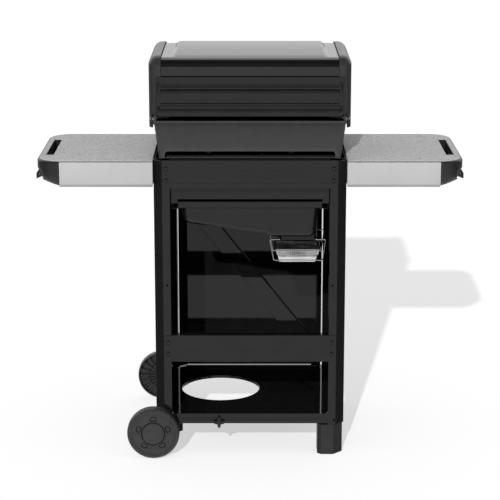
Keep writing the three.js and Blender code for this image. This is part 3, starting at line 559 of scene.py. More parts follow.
# ---------- the cart ----------
REAR = 303.5  # rear face of the rear posts
FRONT = -206.5  # front face of the front posts
GAP = 0.3
BEAM_HALF = 254.0
POST_IN = 231.6
SCREW_HOLE = 7.2
SCREW_HEAD = 5.7


def add_beam(name, low, high, screw_x, screw_z, depth, dimple=None):
    """A cross beam behind the rear posts: rolled edges, two flanges and domed screws in dishes."""
    face = REAR + GAP
    spots = [(side * screw_x, level) for side in (-1, 1) for level in screw_z]
    holes = [circle(SCREW_HOLE, 32, x, z) for x, z in spots]
    if dimple:
        holes += [circle(2.6, 20, side * screw_x, dimple) for side in (-1, 1)]
    inner = POST_IN - GAP
    outline = rectangle(-BEAM_HALF, BEAM_HALF, low, high, 1.5)
    meshes = [plate("y", [outline, *holes], face, face + 1.8, 0.7, 4)]
    for level in (low + 0.1, high - 1.6):
        meshes.append(box_mesh(-inner, inner, REAR - depth, face + 1.0, level, level + 1.5))
    meshes += [dome("y", SCREW_HEAD, 2.9, (x, REAR + 0.2, z), 0.35) for x, z in spots]
    put(name, meshes, "black_paint", "root", [name])


def add_cart():
    for end in ("front", "rear"):
        for side in ("left", "right"):
            refined(f"{end}_{side}_post", 0.6, 3)
        refined(f"{end}_foot", 0.6, 3)
        refined(f"{end}_wheel_bracket", 0.8)
    for node in ("left_side_panel", "right_side_panel", "front_crossbar", "tray_frame"):
        refined(node, 0.5)
    refined("bottom_shelf", 0.3)
    add_beam("rear_upper_beam", 814.6, 897.5, 242.3, (838.2, 873.5), 18, dimple=855.6)
    add_beam("rear_middle_beam", 291.2, 372.4, 240.8, (314.7, 350.2), 26)
    bolts = [dome("z", 5.5, 3.2, (x, y, 118)) for x in (-240, 240) for y in (-150, 248)]
    put("shelf_bolts", bolts, "black_paint", "root")
    bead = plate("y", [rectangle(-205, 205, 108, 112.2, 2)], REAR - 0.4, REAR + 0.4, 0.35, 3)
    put("shelf_rail_bead", bead, "black_paint", "root")


WHEEL_R = 77.6
WHEEL_X = 287.2
WHEEL_WIDTH = 32.0
HUB_R = 33.0
TEETH = 80


def tread(radius, i):
    """Moulded blocks round the tyre."""
    return radius - 2.0 if radius > WHEEL_R - 0.1 and i % 4 in (0, 1) else radius


def wheel_meshes():
    """One wheel about the Z axis: z is 0 on its inner side and the outer face looks along +Z."""
    face = WHEEL_WIDTH - 1.5
    tyre = [
        (60, face - 5), (62, face - 0.4), (63, face), (66.4, face), (67.2, face + 0.8),
        (68.2, WHEEL_WIDTH), (72.6, WHEEL_WIDTH), (74.4, WHEEL_WIDTH - 0.7), (75.6, WHEEL_WIDTH - 2.4),
        (WHEEL_R, WHEEL_WIDTH - 3.4), (WHEEL_R, 3.4), (76.4, 1.2), (75.6, 0.3), (75, 0), (73.4, 0),
        (72.6, 1), (71.6, 17), (60, 18),
    ]
    meshes = [lathe("z", tyre, sides=TEETH * 4, teeth=tread)]
    holes = []
    for k in range(5):
        turn = Matrix.Rotation(2 * math.pi * k / 5, 2)
        outline = rounded([(-9.8, 38.8, 2.5), (9.8, 38.8, 2.5), (9.8, 53, 8.2), (-9.8, 53, 8.2)])
        holes.append([turn @ point for point in outline])
        mid = math.pi / 5
        spread = 0.4
        sector = [(41, mid - spread * 0.62), (41, mid + spread * 0.62)]
        sector += [(61, mid + spread * (1 - 0.25 * i)) for i in range(9)]
        pad = [turn @ Vector((r * math.sin(a), r * math.cos(a))) for r, a in sector]
        meshes.append(plate("z", [pad], face - 1, face + 0.9, 0.5, 2))
        floor = [turn @ point for point in inset(outline, 1.9)]
        meshes.append(plate("z", [floor], face - 12.2, face - 1.2, 0.8, 3))
    meshes.append(plate("z", [circle(62.6, 96), circle(HUB_R + 2.6, 64), *holes], face - 6, face, 0.8, 3))
    meshes.append(plate("z", [circle(64, 96), circle(10, 32)], 16.5, 18.6, 0.4, 2))
    hub = [(8, 0), (8, 18), (15, 18), (15, 1), (14, 0), (8, 0)]
    meshes.append(lathe("z", hub, sides=48))
    ring = [(44, 18.5), (44, 6), (45, 5.4), (46, 6), (46, 18.5)]
    meshes.append(lathe("z", ring))
    for k in range(20):
        rib = box_mesh(-1.1, 1.1, 14, 72, 3.5, 18.5)
        rib.transform(Matrix.Rotation(2 * math.pi * k / 20, 4, "Z"))
        meshes.append(rib)
    return meshes


def hub_cap_mesh():
    """A shallow domed cap with a groove round it."""
    top = WHEEL_WIDTH
    profile = [(HUB_R, top - 5.5), (HUB_R, top - 1.6), (HUB_R - 1.2, top - 0.6), (HUB_R - 3, top - 0.3)]
    for k in range(11):
        profile.append((HUB_R * (1 - k / 10) * 0.88, top - 0.3 + 0.3 * math.sin(math.pi / 2 * k / 10)))
    return lathe("z", profile, sides=96)


def add_wheels():
    for end, out, y in (("rear", 1, REAR + 6), ("front", -1, FRONT - 6)):
        place = Matrix(((-out, 0, 0, WHEEL_X), (0, 0, out, y), (0, 1, 0, WHEEL_R), (0, 0, 0, 1)))
        body = f"{end}_wheel"
        put(f"{end}_wheel_moulding", wheel_meshes(), "wheel_plastic", body, [body], sharp=32, place=place)
        put(f"{end}_hub_cap_moulding", hub_cap_mesh(), "wheel_plastic", body, [f"{end}_hub_cap"], place=place)
        refined(f"{end}_axle", 0.5)


def add_clamp():
    x, z, start = 92.0, 104.0, REAR + 2 * GAP
    star = []
    for i in range(120):
        angle = 2 * math.pi * i / 120
        reach = 16.5 * (0.74 + 0.26 * math.cos(4 * angle))
        star.append(Vector((x + reach * math.sin(angle), z + reach * math.cos(angle))))
    bore = circle(4.1, 32, x, z)
    boss = [(4.1, 10), (4.1, 13.4), (4.7, 14), (6.6, 14), (7.5, 12.8), (7.5, 10)]
    knob = [plate("y", [star, bore], start, start + 12.5, 1.3, 4), lathe("y", boss, (x, start, z), 48)]
    put("clamp_star", knob, "black_plastic", "clamp_knob", ["tank_clamp_knob"])
    refined("tank_clamp_hook", 0.6)
    cap = lathe("y", [(3.6, 8), (3.8, 8.4), (3.8, 12.6), (3.2, 13.3), (0, 13.6)], (x, start, z), 32)
    put("clamp_rod_cap", cap, "black_plastic", "clamp_hook")


# ---------- side tables ----------
TABLE = {
    "inner": 280.9,
    "metal": 549.5,  # where the bent sheet ends and the end cap's wall starts
    "outer": 611.5,
    "end": 617.0,
    "rear": 303.5,
    "front": -119.5,
    "top": 896.0,
}
SLOT = (574.0, 596.5, -32.0, 214.0)
CORNER = 54.0  # radius of the end cap's corners in plan
METAL_CORNER = 62.0


def sheet_outline(path, thickness):
    """The section of a bent sheet: an open path given a thickness on its left side."""
    path = [Vector(p) for p in path]
    other = []
    for i, here in enumerate(path):
        a = (here - path[i - 1]).normalized() if i else (path[1] - here).normalized()
        b = (path[i + 1] - here).normalized() if i < len(path) - 1 else a
        normal = Vector((-(a.y + b.y), a.x + b.x)).normalized()
        other.append(here + normal * thickness / math.sqrt((1 + a.dot(b)) / 2))
    return path + other[::-1]


def cap_underside(x):
    """Height of a table end cap's lower edge."""
    return 820.5 + 0.31 * max(0.0, x - TABLE["metal"])


def divided(points, step):
    """The same open route with extra points, so that no run is longer than step."""
    result = [points[0]]
    for before, after in zip(points, points[1:]):
        count = max(1, math.ceil((after - before).length / step))
        result += [before.lerp(after, k / count) for k in range(1, count + 1)]
    return result


def cap_shell():
    """The moulded wall of a right-hand end cap: rounded on top, folded under, stepped in behind the hooks."""
    rear, front = TABLE["rear"] - 0.4, TABLE["front"] + 0.4
    start, end = TABLE["metal"] + GAP, TABLE["end"]
    plan = divided(rounded([(start, rear), (end, rear, CORNER), (end, front, CORNER), (start, front)], 5), 10)
    roof = TABLE["top"] - 1.7
    rows = []
    for i, here in enumerate(plan):
        ahead = (plan[min(i + 1, len(plan) - 1)] - plan[max(i - 1, 0)]).normalized()
        inward = Vector((ahead.y, -ahead.x))
        step = 6.5 * smooth_step(0.55, 0.95, -inward.x)
        low = cap_underside(here.x)
        column = [(16.0, roof), (5.0, roof)]
        for a in (0.26, 0.52, 0.78, 1.05, 1.31, 1.57):
            column.append((5 - 5 * math.sin(a), roof - 5 + 5 * math.cos(a)))
        column += [(0, 880), (0, 868.5), (step * 0.1, 867), (step * 0.9, 858), (step, 856), (step, low + 8.6)]
        column += [(step + 0.5, low + 8), (step + 6.8, low + 0.9), (step + 8, low + 0.2), (step + 10, low)]
        rows.append([(*(here + inward * d), z) for d, z in column])
    return loft(rows)


def cap_bottom():
    """The moulded floor inside a table end cap."""
    rows = []
    for i in range(13):
        x = TABLE["metal"] + 1 + i * (TABLE["end"] - 17 - TABLE["metal"]) / 12
        over = max(0.0, x + 3 - (TABLE["end"] - CORNER))
        narrow = CORNER - math.sqrt(max(0.0, CORNER ** 2 - over ** 2)) + 9
        z = cap_underside(x) + 0.4
        rows.append([(x, TABLE["rear"] - narrow, z), (x, TABLE["front"] + narrow, z)])
    return loft(rows)


def table_sheet():
    """The right-hand metal top with its slot, its two bent fascias and its inner flange."""
    inner, outer, top = TABLE["inner"], TABLE["outer"], TABLE["top"]
    rear, front = TABLE["rear"], TABLE["front"]
    plan = [(inner, rear, 1), (outer, rear, METAL_CORNER), (outer, front, METAL_CORNER), (inner, front, 1)]
    meshes = [plate("z", [rounded(plan, 4), rectangle(*SLOT, 1.5)], top - 2.6, top, 1.1, 4)]
    section = [(6, top - 1.8), (6, top - 4.8), (0.8, top - 5), (0, top - 5.8), (0, 827), (0.9, 825.6)]
    section += [(8, 817.6), (9.4, 816.8), (14, 816.7)]
    for face, out in ((rear, 1), (front, -1)):
        outline = sheet_outline([(face - out * depth, z) for depth, z in section], -1.4 * out)
        meshes.append(plate("x", [outline], inner, TABLE["metal"], 0.25, 2))
    meshes.append(box_mesh(inner, inner + 1.5, front + 1.5, rear - 1.5, 821, top - 1.5))
    return merged("table", meshes)


def table_end():
    """The right-hand moulded end cap with its slot and its hook rail."""
    walls = [rectangle(572, 598.5, -34, 216, 3), rectangle(*SLOT, 1.5)]
    slot = plate("z", walls, 866, TABLE["top"] - 3, 0.5, 2)
    rail = [(606, 838), (618, 832.5), (622.5, 830.5, 1), (622.5, 848, 1)]
    rail += [(619, 848, 1), (619, 842, 1), (606, 846)]
    rail = plate("y", [rounded(rail)], TABLE["front"] + 60, TABLE["rear"] - 60, 0.6, 2)
    return merged("cap", [cap_shell(), cap_bottom(), slot, rail])


def add_tables():
    for side, sign in SIDES:
        metal = table_sheet()
        moulding = table_end()
        if sign < 0:
            flip_x(metal)
            flip_x(moulding)
        put(f"{side}_table_sheet", metal, "table_metal", "root", [f"{side}_table"], sharp=35)
        put(f"{side}_table_end", moulding, "black_plastic", "root", [f"{side}_table_end_cap"], sharp=50)


# ---------- cookbox, fire and rack ----------
PIVOT = (262.0, 1012.0)  # (y, z) of the lid's hinge


def add_cookbox():
    corners = []
    for sx in (-1, 1):
        corners.append(((sx * 262, 281, 898), (sx * 275.5, 283.5, 1001)))
        corners.append(((sx * 262, -190, 898), (sx * 275.5, -200, 1001)))
    box = refined("cookbox", 0.9, 3, rounded_runs=corners, run_width=7)
    # The cookbox takes the lighter copy of cast_black, whose extra brightness is painted light.
    box.data.materials[0] = PAINTED_LIGHT_CASTING
    profile = [(0, 267), (3.4, 267), (4, 267.6), (4, 287.4), (3.4, 288), (0, 288)]
    for side, sign in SIDES:
        pin = lathe("x", profile, (0, *PIVOT), 32)
        if sign < 0:
            flip_x(pin)
        put(f"{side}_hinge_pin", pin, "stainless", "root", [f"{side}_lid_pin"])


SLOPE = math.atan2(34.5, 142)
PANEL_Y = -279.25
PANEL_Z = 871.0


def on_panel(up, out):
    """(y, z) of a point up the sloping control panel and out of it."""
    rise, run = math.cos(SLOPE), math.sin(SLOPE)
    return (PANEL_Y + up * run - out * rise, PANEL_Z + up * rise + out * run)


def panel_frame(x):
    """Places a shape made about Z on the control panel, standing out of it."""
    return Matrix.Translation((x, PANEL_Y, PANEL_Z)) @ Matrix.Rotation(math.pi / 2 - SLOPE, 4, "X")


BURNER_X = 120.0
BURNER_Z = 918.0


def add_fire():
    for side, sign in SIDES:
        x = sign * BURNER_X
        route = [(x, 249, BURNER_Z), (x, -185, BURNER_Z), (x, -226, BURNER_Z - 9)]
        route += [(x, *on_panel(up, -30)) for up in (34, 17)]
        pipe = tube(route, 11, sides=24, bend=16)
        put(f"{side}_burner_tube", pipe, "stainless", "root", [f"{side}_burner"])
        cup = [(11.8, -14), (11.8, 0), (11.2, 0.6), (10.4, 0), (10.4, -12), (0, -12)]
        put(f"{side}_burner_plug", lathe("y", cup, (x, 262.6, BURNER_Z), 48), "black_paint", "root")
        ports = []
        for out in (-1, 1):
            for i in range(30):
                port = lathe("z", [(0, 0.2), (1.2, 0.2), (1.4, 0), (1.4, -1)], sides=10)
                angle = math.radians(62) * out
                spot = Vector((x + 11 * math.sin(angle), -160 + i * 13.5, BURNER_Z + 11 * math.cos(angle)))
                port.transform(Matrix.Translation(spot) @ Matrix.Rotation(angle, 4, "Y"))
                ports.append(port)
        put(f"{side}_burner_ports", ports, "cast_iron", "root")
        refined(f"{side}_flame_tamer", 0.4)
        refined(f"{side}_grate", 1.6, 3)
    level = 1075.0
    wires = [tube([(-236, y, level), (236, y, level)], 2.2) for y in (130, 150, 170, 190, 210, 228)]
    for x in (-236, 236):
        wires.append(tube([(x, 130, 1009), (x, 130, level), (x, 228, level), (x, 228, 1009)], 2.5, bend=12))
    for sign in (-1, 1):
        x0, x1 = sorted((sign * 233.5, sign * 274))
        wires.append(plate("z", [rectangle(x0, x1, 126, 232, 4)], 1008.3, 1010.3, 0.5, 2))
    put("rack_wires", wires, "chrome_wire", "root", ["warming_rack"])


# ---------- gas controls ----------
def add_controls():
    refined("control_panel", 1.0, 3)
    for side, sign in SIDES:
        place = panel_frame(sign * BURNER_X)
        refined(f"{side}_valve", 0.8)
        refined(f"{side}_valve_rotor", 0.3)
        bezel = [(31.5, 0.2), (31.5, 1.2), (30.6, 2.0), (27, 2.4), (25.4, 1.6), (25, 0.4)]
        put(f"{side}_knob_bezel", lathe("z", bezel, sides=96), "stainless", "root", place=place)
        marks = []
        for turn, length in ((0, 5), (-60, 3), (-90, 5), (-120, 3), (-170, 5)):
            mark = box_mesh(-0.5, 0.5, 34, 34 + length, 0.1, 0.4)
            mark.transform(Matrix.Rotation(math.radians(turn), 4, "Z"))
            marks.append(mark)
        put(f"{side}_knob_marks", marks, "dial", "root", place=place)
        skirt = [(0, 5), (23.2, 5), (24, 5.6), (24, 8), (23, 9.6), (20, 11.2), (17.2, 13), (15.8, 17),
                 (15.2, 27), (14.2, 29.6), (12, 30.8), (0, 31)]
        flutes = lathe("z", skirt, sides=120, teeth=lambda r, i: r - 0.7 if r > 22 and i % 5 < 2 else r)
        grip = plate("z", [rectangle(-4, 4, -12, 23, 3.9)], 9, 30.2, 1.6, 4)
        stem = lathe("z", [(3, -30), (3, 6)], sides=24)
        body = f"{side}_knob"
        put(f"{side}_knob_moulding", [flutes, grip, stem], "black_plastic", body, [body], place=place)
        line = box_mesh(-0.7, 0.7, 13, 21.5, 30.1, 30.45)
        put(f"{side}_knob_pointer", line, "dial", body, place=place)
    middle = panel_frame(0)
    button = [(0, -14), (8.6, -14), (9, -13.6), (9, 5.6), (8.4, 7.2), (7, 8), (3, 7.6), (0, 7.5)]
    button = lathe("z", button)
    put("igniter_cap", button, "black_plastic", "igniter", ["igniter_button"], place=middle)
    collar = lathe("z", [(15, 0.1), (15, 1.6), (14, 2.6), (11, 2.6), (10, 1.8), (10, 0.1)])
    put("igniter_collar", collar, "stainless", "root", place=middle)
    y, z = on_panel(0, -53)
    pipe = [(0, -150), (6.6, -150), (7.5, -149), (7.5, 189)]
    inlet = [(7.5, 188), (9.6, 188), (10.5, 189), (10.5, 205), (9.6, 206), (0, 206)]
    manifold = [lathe("x", pipe, (0, y, z), 48), lathe("x", inlet, (0, y, z), 6)]
    put("manifold_pipe", manifold, "aluminium", "root", ["gas_manifold"], bevel=0.3, segments=2)


# ---------- lid ----------
LID_REAR = 252.0
LID_TOP = 1184.0
NOSE = Vector((-214.0, 1120.0))
CHIN = Vector((-230.0, 990.0))
FLAT_FRONT = -36.5
LEAN = (CHIN.x - NOSE.x) / (CHIN.y - NOSE.y)
CAP_LOW = 982.5
CAP_ROUND = 26.0  # radius of the end caps' outer edge
EAR_X = 281.5  # below the pivot, the end caps are open inside this


def lid_path(top, corner, foot, forward, step):
    """(y, z) along the lid from its rear corner over the top to its front edge."""
    nose = NOSE + Vector((forward, 0))
    points = []
    centre = Vector((LID_REAR - corner, top - corner))
    for k in range(15):
        angle = math.pi / 2 * k / 14
        points.append(centre + corner * Vector((math.cos(angle), math.sin(angle))))
    control = Vector((nose.x + LEAN * (top - nose.y), top))
    points += bent(Vector((FLAT_FRONT, top)), control, nose, 24)
    points.append(Vector((nose.x + LEAN * (foot - nose.y), foot)))
    return divided(points, step)


# The lid's raised centre: where each of its edges starts to rise, and where it is up.
RAISED_SIDE = (228.5, 210.5)
RAISED_REAR = (226.0, 210.0)
RAISED_FRONT = (-86.0, -46.0)


def raised(x, y, z):
    """How far the lid's centre stands above the rest of its top: most at the front, less to the rear."""
    if z < LID_TOP - 12:
        return 0.0
    share = (y - RAISED_FRONT[1]) / (RAISED_REAR[1] - RAISED_FRONT[1])
    height = 2.5 + 8.5 * (1 - min(1.0, max(0.0, share)) ** 2)
    side = smooth_step(*RAISED_SIDE, abs(x))
    return height * side * smooth_step(*RAISED_REAR, y) * smooth_step(*RAISED_FRONT, y)


def inset_path(path, distance):
    """An open outline moved to its left."""
    result = []
    for i, here in enumerate(path):
        ahead = (path[min(i + 1, len(path) - 1)] - path[max(i - 1, 0)]).normalized()
        result.append(here + Vector((-ahead.y, ahead.x)) * distance)
    return result


def add_lid_shroud():
    path = [Vector((LID_REAR, 1133)), *lid_path(LID_TOP, 26, 990, 0, 5)]
    stations = [-256.2, -255, -246] + [-232 + 1.6 * k for k in range(17)] + [-200 + 20 * k for k in range(21)]
    stations += [206.4 + 1.6 * k for k in range(17)] + [246, 255, 256.2]
    rows = [[(x, p.x, p.y + raised(x, p.x, p.y)) for p in path] for x in sorted(set(stations))]
    put("lid_skin", loft(rows), "enamel", "lid", ["lid_shroud"], thick=1.5, sharp=60)


def open_for_ear(work):
    """Leaves out the part of an end cap that the hinge ear takes."""
    cut(work, (0, 0, PIVOT[1]), (0, 0, 1))
    cut(work, (EAR_X, 0, 0), (1, 0, 0))
    centres = {face: face.calc_center_median() for face in work.faces}
    inner = [face for face, centre in centres.items() if centre.z < PIVOT[1] and centre.x < EAR_X]
    bmesh.ops.delete(work, geom=inner, context="FACES")


def add_lid_caps():
    path = [Vector((LID_REAR, CAP_LOW - 60)), *lid_path(1189.5, 28, CAP_LOW - 60, -6, 12)]
    rings = [(256.4, 0.6), (256.6, 0.12), (257.2, 0), (262, 0), (266.5, 0)]
    for degrees in range(6, 91, 6):
        angle = math.radians(degrees)
        rings.append((266.5 + CAP_ROUND * math.sin(angle), CAP_ROUND * (1 - math.cos(angle))))
    low, high = PIVOT[1] - 12, PIVOT[1] + 10
    for side, sign in SIDES:
        rows = [[(x, p.x, p.y) for p in inset_path(path, d)] for x, d in rings]
        shell = clipped(loft(rows, last=True), (0, 0, CAP_LOW), (0, 0, -1))
        edited(shell, open_for_ear)
        strip = plate("y", [rectangle(272.2, 274.8, 1006, 1132, 1.2)], LID_REAR - 1.5, LID_REAR + 1.6, 0.6, 3)
        ear = [(LID_REAR - 12, low), (PIVOT[0] + 8, low, 7), (PIVOT[0] + 8, high, 7), (LID_REAR - 12, high)]
        ear = plate("x", [rounded(ear)], 281.8, 285.5, 0.5, 2)
        boss = plate("x", [rectangle(LID_REAR - 12, LID_REAR - 4, low, high, 1)], 285, 289.4, 0.4, 2)
        hinge = merged("hinge", [strip, ear, boss])
        if sign < 0:
            flip_x(shell)
            flip_x(hinge)
        put(f"lid_{side}_cap", shell, "cast_black", "lid", [f"lid_{side}_end_cap"], thick=3, sharp=60)
        put(f"lid_{side}_hinge_ear", hinge, "cast_black", "lid")


def add_lid_back():
    y = LID_REAR + GAP
    levels = (1050.3, 1098.5)
    grooves = [rectangle(-258.9, 258.9, level - 4.1, level + 4.1, 4.0) for level in levels]
    screws = [(x, level) for x in (-263.5, 263.5) for level in (1042, 1112)]
    dishes = [circle(4.9, 28, x, level) for x, level in screws]
    meshes = [plate("y", [rectangle(-271, 271, 1014.7, 1131, 2), *grooves, *dishes], y, y + 1.5, 0.6, 3)]
    for level in levels:
        bead = rectangle(-258, 258, level - 3.2, level + 3.2, 3.1)
        meshes.append(plate("y", [bead], y + 0.2, y + 2.7, 1.0, 5))
    meshes += [dome("y", 3.6, 3.0, (x, y + 0.2, level), 0.6) for x, level in screws]
    for x in (-255, 255):
        meshes.append(box_mesh(x - 4, x + 4, y - 6, y - 0.1, 1009, 1016))
    put("lid_back_sheet", meshes, "black_paint", "lid", ["lid_back_panel"])


def lid_face(z):
    """How far forward the lid's sloping front is at a height."""
    return NOSE.x + LEAN * (z - NOSE.y)


HANDLE = (-330.5, 1026.0)  # (y, z) of the bar
DIAL_Z = 1084.0
NEEDLE_REST = 135.0  # degrees, where the scale starts


def add_lid_front():
    y, z = HANDLE
    bar = [(0, -200), (9.4, -200), (10.6, -199.2), (11, -198)]
    bar += [(11, x) for x in range(-180, 181, 20)] + [(11, 198), (10.6, 199.2), (9.4, 200), (0, 200)]
    put("handle_bar", lathe("x", bar, (0, y, z), 64), "stainless", "lid", ["lid_handle"])
    arms = []
    for x in (-150, 150):
        root_high, root_low = lid_face(z + 16) - 0.2, lid_face(z - 16) - 0.2
        outline = [(root_high, z + 16), (y - 2, z + 12.5, 12), (y - 2, z - 12.5, 12), (root_low, z - 16)]
        arms.append(plate("x", [rounded(outline)], x - 9, x + 9, 3, 5))
    put("handle_arms", arms, "black_plastic", "lid")
    tilt = Matrix.Rotation(math.pi / 2 - math.atan(LEAN), 4, "X")
    place = Matrix.Translation((0, lid_face(DIAL_Z), DIAL_Z)) @ tilt
    bezel = [(0, 0.4), (26, 0.4), (26, 9.6), (25.4, 11.4), (24.4, 12), (23.4, 11.6), (22.8, 10), (22.5, 4.2)]
    put("dial_bezel", lathe("z", bezel, sides=96), "stainless", "lid", ["thermometer"], place=place)
    face = lathe("z", [(22.6, 4.4), (12, 4.5), (0, 4.5)], sides=96)
    put("dial_face", face, "dial", "lid", place=place)
    ticks = []
    for i in range(28):
        turn = math.radians(NEEDLE_REST - 10 * i)
        long = 4.5 if i % 3 == 0 else 2.6
        tick = box_mesh(-0.35, 0.35, 20.5 - long, 20.5, 4.4, 4.65)
        tick.transform(Matrix.Rotation(turn, 4, "Z"))
        ticks.append(tick)
    put("dial_ticks", ticks, "black_plastic", "lid", place=place)
    boss = lathe("z", [(0, 4.8), (1.9, 4.8), (2.1, 5.2), (2.1, 6), (1.6, 6.6), (0, 6.8)], sides=32)
    hand = plate("z", [[(-1, -5), (1, -5), (0.35, 18.5), (-0.35, 18.5)]], 5, 5.9, 0.15, 1)
    turned = place @ Matrix.Rotation(math.radians(NEEDLE_REST), 4, "Z")
    put("dial_needle", [boss, hand], "black_plastic", "needle", ["thermometer_needle"], place=turned)


# ---------- door ----------
def add_door():
    refined("door_panel", 0.9, 3)
    refined("door_brace", 0.8, 3)
    for node in ("door_lower_pin", "door_upper_pin"):
        refined(node, 0.4)
    low, high = (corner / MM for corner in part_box("door_panel"))

    def upright(x, radius):
        return tube([(x, -195, low.z + 8), (x, -195, high.z - 8)], radius)

    put("door_hems", [upright(low.x - 0.6, 1.0), upright(high.x + 0.2, 0.8)], "black_paint", "door")
    put("door_stop_bead", upright(POST_IN - 0.4, 0.8), "black_paint", "root")


# ---------- grease tray, holder and catch pan ----------
PAN = {"x": -140.6, "y": 195.0, "half_x": 70.5, "half_y": 54.0, "rim": 621.0, "low": 576.0}
PAN_RIBS = 80
PAN_POINTS = 800


def add_tray():
    face = [(185, 789.5), (180, 716, 8), (-50.5, 683, 25), (-65.4, 675, 12), (-177.3, 675, 8), (-187, 789.5)]
    funnel = plate("y", [inset(rounded(face, 5), -15)], -120, 268, 15, 8)
    funnel = clipped(funnel, (0, 0, 750.2), (0, 0, 1))
    put("tray_funnel", funnel, "black_paint", "tray", ["grease_tray"], thick=1.5, sharp=50)
    rim = [rectangle(-209.6, 209.6, -128, 274, 2), rectangle(-200.5, 198.5, -118.5, 266.5, 6)]
    lip = rectangle(-209.6, 209.6, 749.5, 768.6, 1)
    meshes = [plate("z", rim, 749.5, 751, 0.4, 2), plate("y", [lip], 272.4, 274, 0.6, 3)]
    for x0, x1, foot in ((-93.5, -92, -82), (-188.7, -187.2, -198.6)):
        meshes.append(plate("x", [rectangle(130, 250, 646, 672, 0.5)], x0, x1, 0.3, 2))
        low, high = sorted((foot, x0 if foot > x0 else x1))
        meshes.append(plate("z", [rectangle(low, high, 130, 250, 0.5)], 646, 647.5, 0.3, 2))
    put("tray_edges", meshes, "black_paint", "tray")
    spout = [(15.5, 665), (15.5, 655.5), (15, 655), (14.4, 655.5), (14, 665)]
    put("tray_spout", lathe("z", spout, (PAN["x"], PAN["y"], 0), 48), "black_paint", "tray")


def add_holder():
    rim = PAN["rim"] - 3.5
    cradle = [(-86, 651), (-58, 651), (-69.5, 588), (-214, 588), (-222.7, 651), (-194.6, 651)]
    wires = []
    for y in (254, 134):
        wires.append(tube([(x, y, z) for x, z in cradle], 1.8, bend=6))
        wires.append(tube([(-64.5, y, rim), (-218, y, rim)], 1.8))
    for x, z in ((-86, 651), (-194.6, 651), (PAN["x"] - 67, rim), (PAN["x"] + 67, rim)):
        wires.append(tube([(x, 134, z), (x, 254, z)], 1.8))
    put("holder_wires", wires, "chrome_wire", "pan", ["catch_pan_holder"])


def pan_ring(inset_x, inset_y, z, radius, depth):
    """One level of the foil pan: a rounded rectangle whose sides are pressed into upright ribs."""
    half_x, half_y = PAN["half_x"] - inset_x, PAN["half_y"] - inset_y
    outline = rectangle(-half_x, half_x, -half_y, half_y, radius, 6)
    outline = divided([*outline, Vector((-half_x + radius, -half_y))], 0.8)
    lengths = [0.0]
    for before, here in zip(outline, outline[1:]):
        lengths.append(lengths[-1] + (here - before).length)
    row = []
    k = 0
    for i in range(PAN_POINTS):
        goal = lengths[-1] * i / PAN_POINTS
        while lengths[k + 1] < goal:
            k += 1
        here = outline[k].lerp(outline[k + 1], (goal - lengths[k]) / (lengths[k + 1] - lengths[k]))
        wave = depth * abs(2 * (PAN_RIBS * i / PAN_POINTS % 1) - 1)
        row.append((PAN["x"] + here.x * (1 - wave / half_x), PAN["y"] + here.y * (1 - wave / half_y), z))
    return row


def add_pan():
    """The foil pan, level by level from its rolled rim to its floor."""
    rim, low = PAN["rim"], PAN["low"]
    levels = [
        (0, 0, rim - 1.8, 6, 0), (0, 0, rim - 0.6, 6, 0), (1, 1, rim, 6, 0), (4.5, 4.5, rim, 6, 0),
        (6, 6, rim - 1.2, 6, 0.3), (6.6, 6.4, rim - 2.6, 6, 2.0), (7.6, 7.4, rim - 11, 6, 2.3),
        (8.6, 8.2, rim - 19.5, 6, 2.0), (9.4, 9, rim - 21.5, 6, 0.3), (9.7, 9.3, rim - 23, 6, 0),
        (12.6, 11.8, low + 6, 7, 0), (14, 13, low + 2, 8, 0), (18, 16, low, 8, 0),
    ]
    rows = [pan_ring(*level) for level in levels]
    put("foil_pan", loft(rows, around=True, last=True), "pan_foil", "pan", ["catch_pan"], thick=0.3, sharp=70)


# ---------- studio ----------
WORLD_FILL = 0.9
WORLD_SEEN = 1.05
FLOOR_TONE = 0.27
FLOOR_GLOW = 0.552
FLOOR_REACH = 40.0
SUN_POWER = 6.0
SUN_SPREAD = 1.0  # degrees
SUN_TRAVEL = (-0.334, -1.93, -1.0)


def room_tone(s):
    """A room for reflections: bright before, behind and below, dim beside, and dark elsewhere."""
    split = s.node("ShaderNodeSeparateXYZ")
    s.link(s.node("ShaderNodeTexCoord").outputs["Generated"], split.inputs[0])
    x, y, z = split.outputs
    height = s.math("ADD", z, 0.5)
    lit = s.ramp(s.math("ABSOLUTE", y), [(0.0, 0.09), (0.78, 0.12), (0.88, 0.64), (1.0, 0.68)])
    horizon = s.ramp(height, [(0.4, 1.0), (0.52, 0.15)])
    level = s.math("MULTIPLY", lit, horizon)
    forward = s.math("MULTIPLY_ADD", y, -0.5, third=0.5)
    above = s.ramp(height, [(0.48, 0.0), (0.52, 1.0)])
    ahead = s.ramp(forward, [(0.5, 0.03), (0.57, 1.5), (0.85, 1.5), (0.95, 0.95), (0.985, 0.86), (1.0, 0.86)])
    below = s.ramp(s.math("MULTIPLY", z, -1.0), [(0.36, 0.0), (0.52, 0.85)])
    beside = s.ramp(s.math("ABSOLUTE", x), [(0.5, 0.0), (0.62, 0.35), (0.8, 0.35), (0.9, 0.0)])
    upright = s.math("MAXIMUM", level, s.math("MULTIPLY", ahead, above))
    return s.math("MAXIMUM", upright, s.math("MAXIMUM", below, beside))


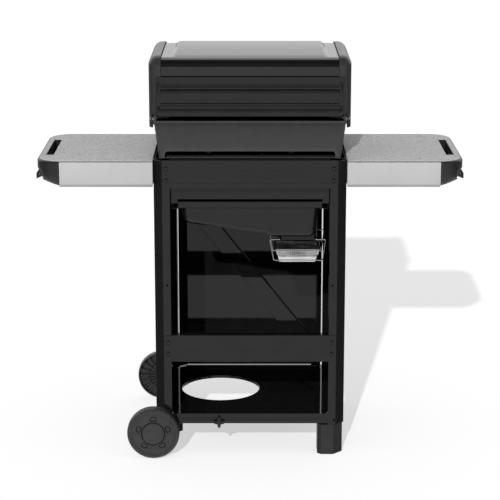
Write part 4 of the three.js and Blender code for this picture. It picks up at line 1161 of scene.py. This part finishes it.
def add_world():
    """White to the camera, a plain fill for diffuse light, and the room for reflections."""
    world = bpy.data.worlds.new("studio")
    bpy.context.scene.world = world
    s = Shader(world)
    out = s.node("ShaderNodeOutputWorld")
    path = s.node("ShaderNodeLightPath")
    glossy = s.node("ShaderNodeMix", data_type="RGBA")
    glossy.inputs[6].default_value = (WORLD_FILL, WORLD_FILL, WORLD_FILL, 1)
    s.link(path.outputs["Is Glossy Ray"], glossy.inputs[0])
    s.link(room_tone(s), glossy.inputs[7])
    seen = s.node("ShaderNodeMix", data_type="RGBA")
    seen.inputs[7].default_value = (WORLD_SEEN, WORLD_SEEN, WORLD_SEEN, 1)
    s.link(path.outputs["Is Camera Ray"], seen.inputs[0])
    s.link(glossy.outputs[2], seen.inputs[6])
    light = s.node("ShaderNodeBackground")
    s.link(seen.outputs[2], light.inputs[0])
    s.link(light.outputs[0], out.inputs[0])


def add_floor():
    """A white sweep, partly lit from below as on a light table, so that shadows on it stay pale and even."""
    material = bpy.data.materials.new("floor")
    s = Shader(material)
    out = s.node("ShaderNodeOutputMaterial")
    cover = s.node("ShaderNodeBsdfDiffuse")
    cover.inputs["Color"].default_value = (FLOOR_TONE, FLOOR_TONE, FLOOR_TONE, 1)
    glow = s.node("ShaderNodeEmission")
    glow.inputs["Color"].default_value = (FLOOR_GLOW, FLOOR_GLOW, FLOOR_GLOW, 1)
    both = s.node("ShaderNodeAddShader")
    s.link(cover.outputs[0], both.inputs[0])
    s.link(glow.outputs[0], both.inputs[1])
    s.link(both.outputs[0], out.inputs[0])
    corners = [(x * FLOOR_REACH, y * FLOOR_REACH, 0) for x, y in ((-1, -1), (1, -1), (1, 1), (-1, 1))]
    mesh = to_mesh("floor", corners, [(0, 1, 2, 3)])
    mesh.materials.append(material)
    floor = bpy.data.objects.new("floor", mesh)
    bpy.context.scene.collection.objects.link(floor)
    floor.visible_glossy = False


def add_sun():
    data = bpy.data.lights.new("key", "SUN")
    data.energy = SUN_POWER
    data.angle = math.radians(SUN_SPREAD)
    sun = bpy.data.objects.new("key", data)
    sun.rotation_euler = Vector(SUN_TRAVEL).to_track_quat("-Z", "Y").to_euler()
    bpy.context.scene.collection.objects.link(sun)
    sun.visible_glossy = False


bpy.context.scene.view_settings.view_transform = "Standard"
add_camera()
add_world()
add_floor()
add_sun()
add_cart()
add_wheels()
add_clamp()
add_tables()
add_cookbox()
add_fire()
add_controls()
add_lid_shroud()
add_lid_caps()
add_lid_back()
add_lid_front()
add_door()
add_tray()
add_holder()
add_pan()
